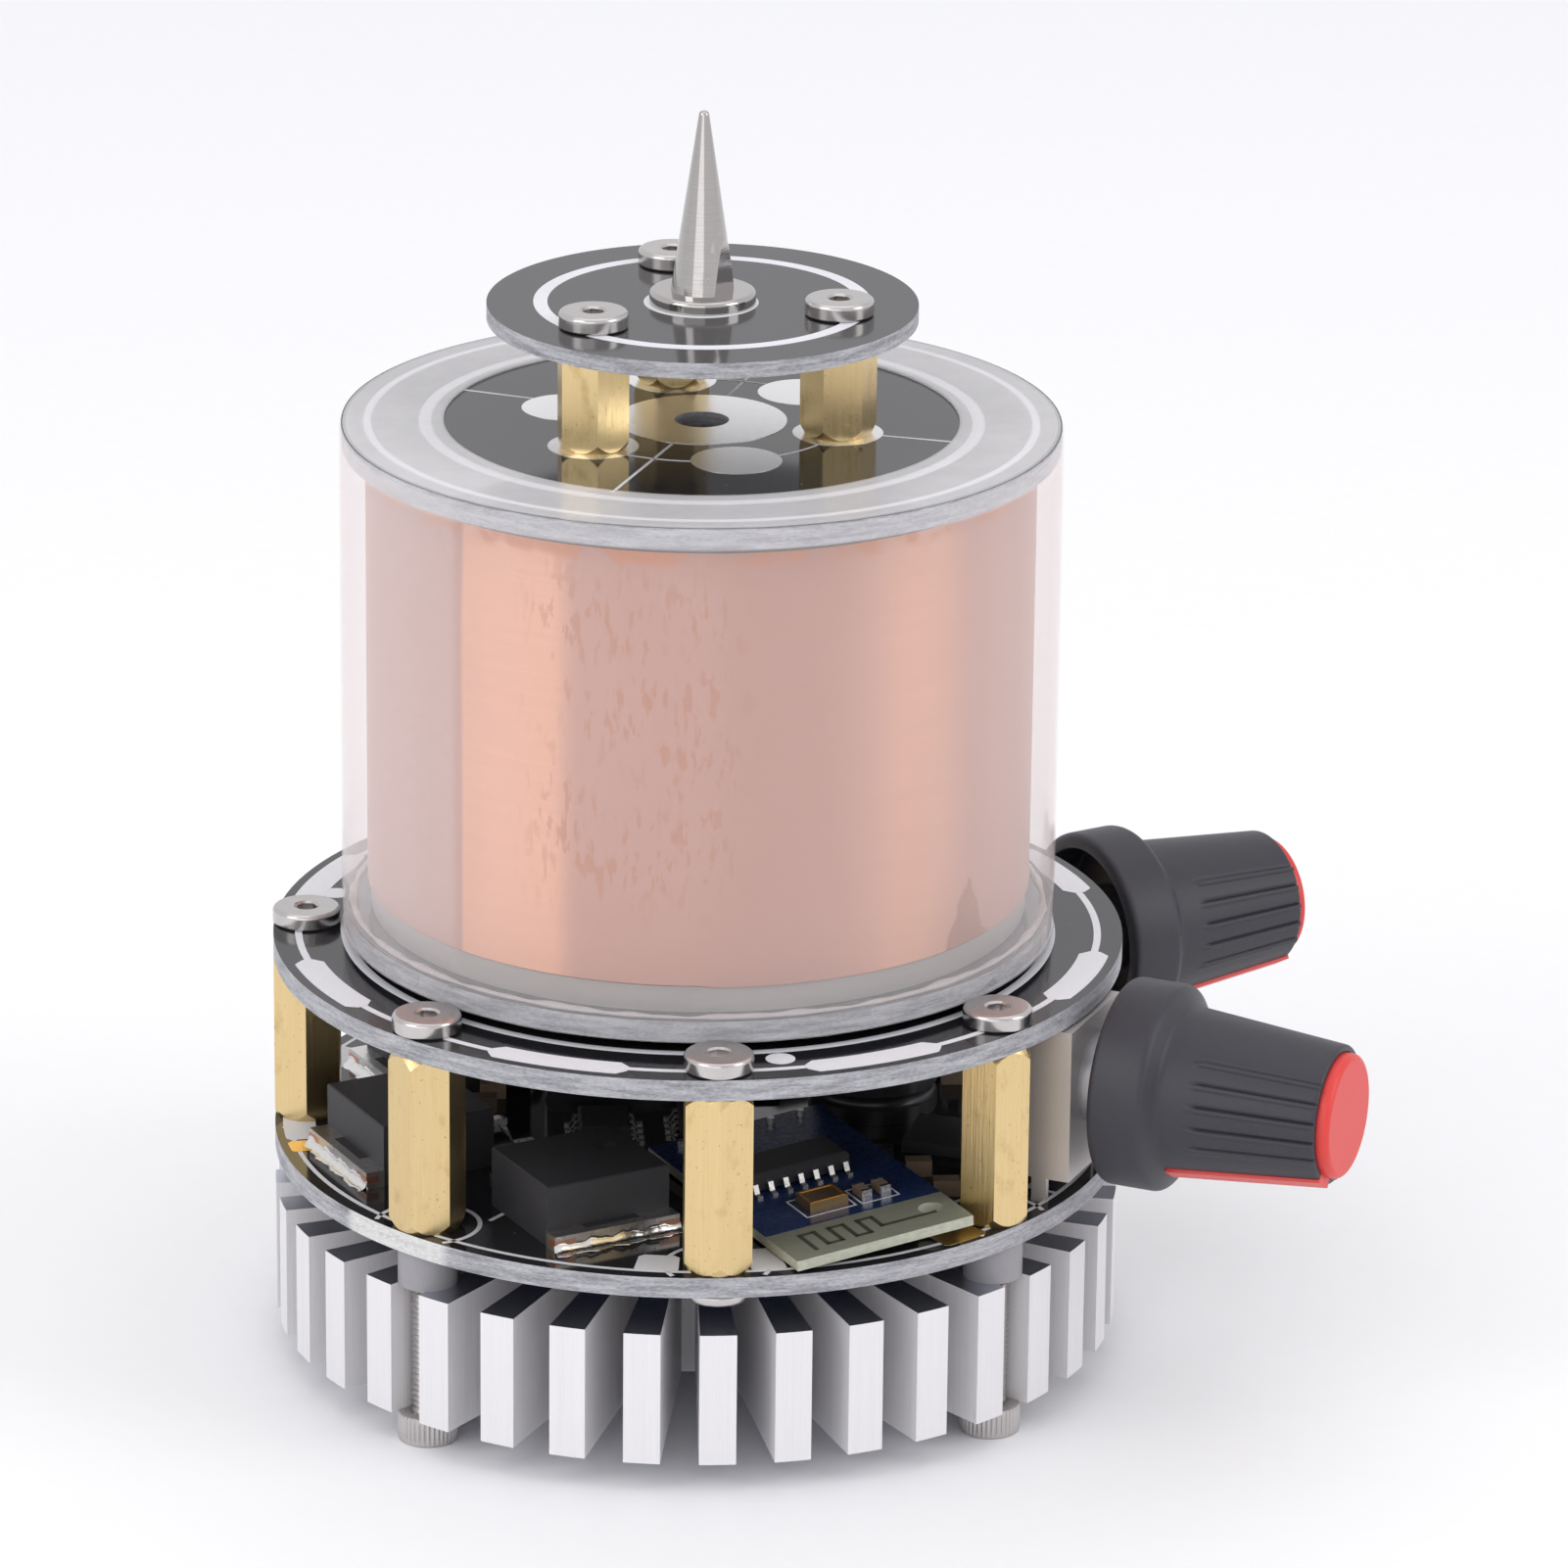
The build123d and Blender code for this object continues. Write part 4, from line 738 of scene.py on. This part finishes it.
def knobProfile():
    # Distance along the shaft, and radius: out of the cavity, round the skirt, up the grip, into the seat
    grip = (knob["skirtLength"] + knob["shoulder"], knob["base"])
    deep, room = knob["cavityDepth"], knob["capRoom"]
    corners = [(deep, knob["bore"]), (deep, knob["cavity"]), (0, knob["cavity"]), (0, knob["skirt"]),
               (knob["skirtLength"], knob["skirt"]), grip, (knob["length"], knob["end"]),
               (knob["length"], room), (knob["seat"], room), (knob["seat"], 0.0)]
    points = [[corners[0]]]
    for before, corner, after, radius in zip(corners, corners[1:], corners[2:], knob["rounds"]):
        points.append(rounded(corner, before, after, radius))
        if corner == grip:
            share = np.linspace(0.06, 0.97, knob["gripRows"])[:, None]
            points.append(np.array(corner) + (np.array(after) - corner) * share)
    return np.concatenate([*points, [corners[-1]]])


def makeKnob(side):
    # Revolved profile. Up the grip the radius gains fine ribs and grooves by angle, and drops in the pointer's
    # slot. The angles are denser at the slot and the ribs.
    joint = joints[side + "_knob_turn"]
    outward = -Vector(joint["axis"])
    upward = Vector((0, 0, 1))
    across = upward.cross(outward)
    profile = knobProfile()
    slotHalf = np.degrees(knob["pointer"] / 2 / knob["end"])
    slotEdges = np.array([slotHalf, slotHalf + 0.2])
    ribTurns = [sign * rib + np.linspace(-3, 3, 13) for rib in knob["ribs"] for sign in (-1, 1)]
    angles = np.concatenate([np.arange(-180, 180, knob["angleStep"]), -slotEdges, slotEdges, *ribTurns])
    angles = np.unique(np.round(angles, 3))
    along, radius = profile[:, :1], np.repeat(profile[:, 1:], len(angles), 1)
    neck = knob["skirtLength"] + knob["shoulder"]
    grip = (along > neck) & (radius > knob["capRoom"] + 0.25 * mm)
    ribbed = grip * np.clip((along - knob["ribStart"]) / (0.5 * mm), 0, 1)
    for rib in knob["ribs"]:
        away = np.abs(angles)[None, :] - rib
        height = knob["ribHeight"] * (knob["lastRib"] if rib == knob["ribs"][-1] else 1.0)
        radius = radius + ribbed * height * np.exp(-((away / knob["ribWidth"]) ** 4))
        groove = np.exp(-(((away - knob["grooveAway"]) / knob["grooveWidth"]) ** 2))
        radius = radius - ribbed * knob["grooveDepth"] * groove
    inSlot = (np.abs(angles)[None, :] <= slotHalf + 1e-6) & grip & (along > neck + 0.2 * mm)
    radius = radius - inSlot * knob["slot"]
    turn = np.radians(angles)[None, :] + radians(knob["turn"])
    sideways, upwards = radius * -np.sin(turn), radius * np.cos(turn)
    grid = (np.array(Vector(joint["pos_m"])) + along[..., None] * np.array(outward)
            + sideways[..., None] * np.array(across) + upwards[..., None] * np.array(upward))
    faces = gridFaces(len(profile), len(angles), True)
    piece = meshPiece(side + "KnobGrip", grid, faces, plain["knobBlack"], side + "_control")
    sharpen(piece, 55)
    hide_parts(side + "_knob")


for side in ("front", "rear"):
    makeKnob(side)
print("knobs")

# Each transistor: radius in mm, azimuth, and the azimuth that its tab points to. Sizes in mm.
transistors = ((22.0, -26.3, 25.0), (23.3, -72.4, -66.0), (21.3, -117.3, -65.0), (21.3, 152.7, 205.0))
package = {"tabEnd": 6.1, "tabHalf": 5.2, "height": 4.7, "fillet": 0.75, "filletPast": 0.1, "filletRows": 7,
           "filletColumns": 25, "cutReach": 1.0, "cutWidth": 1.7, "cutBottom": 0.42, "cutTop": 1.0,
           "cutProud": 0.012, "dimple": 1.05, "dimpleX": -1.2, "dimpleY": 2.6}


def onPackage(spot, x, y, z):  # places in mm in a transistor's own frame, its tab towards +X
    radius, azimuth, facing = spot
    turn = radians(facing - 90)
    parts = np.broadcast_arrays(x * cos(turn) - y * sin(turn), x * sin(turn) + y * cos(turn), z)
    return polar(radius * mm, azimuth, boardTop) + np.stack(parts, -1) * mm


def solderFillet(spot):  # solder up the tab: a hollow curve from board to face, whose size wavers along it
    x, half, size = package["tabEnd"], package["tabHalf"] + package["filletPast"], package["fillet"]
    climb = np.linspace(0, 1, package["filletRows"])[:, None]
    across = np.linspace(-half, half, package["filletColumns"])[None, :]
    wobble = 1 + 0.18 * np.sin(across * 2.3 + x) + 0.12 * np.sin(across * 5.1)
    face = onPackage(spot, x + size * (1 - climb) ** 2 * wobble, across, size * climb ** 2 * wobble)
    grid = np.concatenate([face, onPackage(spot, x - 0.05, across, 0.0), face[:1]])
    return grid, gridFaces(len(grid), package["filletColumns"], False)


def cutEnd(spot, sign):  # bare copper where the tab was cut off: a band round its corner, and the end face
    proud, half = package["cutProud"], package["tabHalf"]
    near, far = sorted((sign * (half - package["cutWidth"]), sign * (half + proud)))
    section = np.array(wall(near, far, package["cutBottom"], package["cutTop"]))
    end = package["tabEnd"] + proud
    x = np.array([[package["tabEnd"] - package["cutReach"], end]])
    band = onPackage(spot, x, section[:, :1], section[:, 1:])
    face = onPackage(spot, end, np.array([[near, far]]), section[:2, 1:])
    return [(band, gridFaces(len(band), 2, False)), (face, gridFaces(2, 2, False))]


def packageDimple(spot):  # shallow round mark in the package's top: a revolved rim and floor
    x, y, top = onPackage(spot, package["dimpleX"], package["dimpleY"], package["height"])
    radii = np.array([1.0, 0.86, 0.84, 0.0]) * package["dimple"] * mm
    grid, faces = lathe(top + np.array([0.0, 0.015, 0.004, 0.004]) * mm, radii, 40)
    return grid + (x, y, 0), faces


def makeTransistorDetail():  # solder and cut ends at each tab, and the mark in each package
    fillets = [solderFillet(spot) for spot in transistors]
    mergedPiece("tabSolder", fillets, plain["solder"], True)
    cuts = [grid for spot in transistors for sign in (-1, 1) for grid in cutEnd(spot, sign)]
    sharpen(mergedPiece("tabCutEnds", cuts, plain["cutCopper"]), 35)
    dimples = [packageDimple(spot) for spot in transistors]
    mergedPiece("packageDimples", dimples, epoxy, True)


# On the radio module, in mm from the front edge and up its width; lift is how far a stroke stands up
antenna = {"width": 0.36, "lift": 0.012,
           "path": ((-1.2, 2.2), (-4.0, 2.2), (-4.0, 3.4), (-1.6, 3.4), (-1.6, 4.6), (-4.0, 4.6), (-4.0, 5.8),
                    (-1.6, 5.8), (-1.6, 7.0), (-4.0, 7.0), (-4.0, 8.2), (-2.2, 8.2), (-2.2, 12.6))}
outlines = {"width": 0.14, "lift": 0.015, "boxes": (((-10.0, 4.2), (-6.6, 8.3)), ((-9.3, 8.8), (-6.5, 11.9)))}
crystalFrame = {"width": 0.16, "lift": 0.83, "box": ((-9.35, 4.9), (-7.25, 7.7))}
capacitorEnds = {"width": 0.3, "lift": 0.72, "half": 0.27, "x": (-8.57, -7.23), "y": (9.5, 11.1)}


def radioStrokes(path, look):  # strips from point to point of a path, half a width longer at each end
    strokes = []
    for start, end in zip(path, path[1:]):
        start, end = np.array(start, float), np.array(end, float)
        spare = (end - start) / np.linalg.norm(end - start) * look["width"] / 2
        grid, faces = bar(start - spare, end + spare, look["width"], 0.0, look["lift"])
        strokes.append((onRadio(grid * mm), faces))
    return strokes


def boxPath(box):  # round a box from its low corner
    (x0, y0), (x1, y1) = box
    return (x0, y0), (x1, y0), (x1, y1), (x0, y1), (x0, y0)


def makeRadioPrint():  # antenna, outlines, the capacitors' ends and the rim of the crystal's lid
    mergedPiece("antennaTrace", radioStrokes(antenna["path"], antenna), plain["antennaTrace"])
    lines = [stroke for box in outlines["boxes"] for stroke in radioStrokes(boxPath(box), outlines)]
    mergedPiece("radioOutlines", lines, ink)
    half = capacitorEnds["half"]
    ends = [stroke for x in capacitorEnds["x"] for y in capacitorEnds["y"]
            for stroke in radioStrokes(((x, y - half), (x, y + half)), capacitorEnds)]
    mergedPiece("capacitorEnds", ends, plain["solder"])
    frameLines = radioStrokes(boxPath(crystalFrame["box"]), crystalFrame)
    mergedPiece("crystalRim", frameLines, plain["crystalRim"])


makeTransistorDetail()
makeRadioPrint()
print("driver board detail")

view = {"photoWidth": 1601, "focalPixels": 8576.79, "elevation": 0.3385, "roll": 0.0074, "yaw": 0.0101,
        "azimuth": -3.06, "place": (0.0, -603.50 * mm, 239.64 * mm + boardTop), "sensor": 36.0,
        "clip": (0.01, 20.0)}


def makeCamera():
    # Looks down by the elevation, then turned a little by yaw and roll; all of it stands at the azimuth
    forward = Vector((0, cos(view["elevation"]), -sin(view["elevation"])))
    right = Vector((1, 0, 0))
    above = right.cross(forward)
    aim = forward * cos(view["yaw"]) + right * sin(view["yaw"])
    level = right * cos(view["yaw"]) - forward * sin(view["yaw"])
    side = level * cos(view["roll"]) + above * sin(view["roll"])
    top = above * cos(view["roll"]) - level * sin(view["roll"])
    turn = Matrix.Translation(view["place"]) @ Matrix((side, top, -aim)).transposed().to_4x4()
    data = bpy.data.cameras.new("camera")
    data.sensor_width = view["sensor"]
    data.lens = view["focalPixels"] / view["photoWidth"] * view["sensor"]
    data.clip_start, data.clip_end = view["clip"]
    camera = bpy.data.objects.new("camera", data)
    camera.matrix_world = Matrix.Rotation(radians(view["azimuth"]), 4, "Z") @ turn
    bpy.context.scene.collection.objects.link(camera)
    bpy.context.scene.camera = camera


lights = {  # place, width and height of the panel, watts
    "keyLeft": ((-0.55, -0.35, 0.42), (0.34, 0.50), 1.2),
    "keyRight": ((0.60, -0.25, 0.40), (0.30, 0.44), 1.2),
    "overhead": ((0.0, 0.10, 0.95), (0.9, 0.9), 1.4),
    "front": ((-0.30, -0.80, 0.30), (0.7, 0.5), 0.8)}
studio = {"aim": (0, 0, 0.045), "sky": (0.93, 0.93, 0.95, 1), "skyStrength": 0.90}


def makeLights():  # soft panels that face the coil, and an even pale sky
    for name, (place, size, watts) in lights.items():
        data = bpy.data.lights.new(name, "AREA")
        data.shape = "RECTANGLE"
        data.size, data.size_y = size
        data.energy = watts
        lamp = bpy.data.objects.new(name, data)
        lamp.location = place
        lamp.rotation_euler = (Vector(studio["aim"]) - Vector(place)).to_track_quat("-Z", "Y").to_euler()
        bpy.context.scene.collection.objects.link(lamp)
    world = bpy.data.worlds.new("studio")
    world.use_nodes = True
    sky = world.node_tree.nodes["Background"].inputs
    sky["Color"].default_value = studio["sky"]
    sky["Strength"].default_value = studio["skyStrength"]
    bpy.context.scene.world = world
    bpy.context.scene.view_settings.view_transform = "Standard"


floorLook = {"reach": 3.0, "grain": 2 * mm, "dark": (0.90, 0.90, 0.915), "light": (0.92, 0.92, 0.935),
             "rough": 0.55}


def makeFloor():  # one pale quad
    reach = floorLook["reach"]
    mesh = bpy.data.meshes.new("floor")
    corners = [(-reach, -reach, 0), (reach, -reach, 0), (reach, reach, 0), (-reach, reach, 0)]
    mesh.from_pydata(corners, [], [(0, 1, 2, 3)])
    floor = bpy.data.objects.new("floor", mesh)
    bpy.context.scene.collection.objects.link(floor)
    paint = Paint("paleFloor")
    colour = paint.mix(paint.noise(floorLook["grain"], detail=2.0), floorLook["dark"], floorLook["light"])
    mesh.materials.append(paint.finish(colour, floorLook["rough"], 0.0))


makeCamera()
makeLights()
makeFloor()
print("stage")
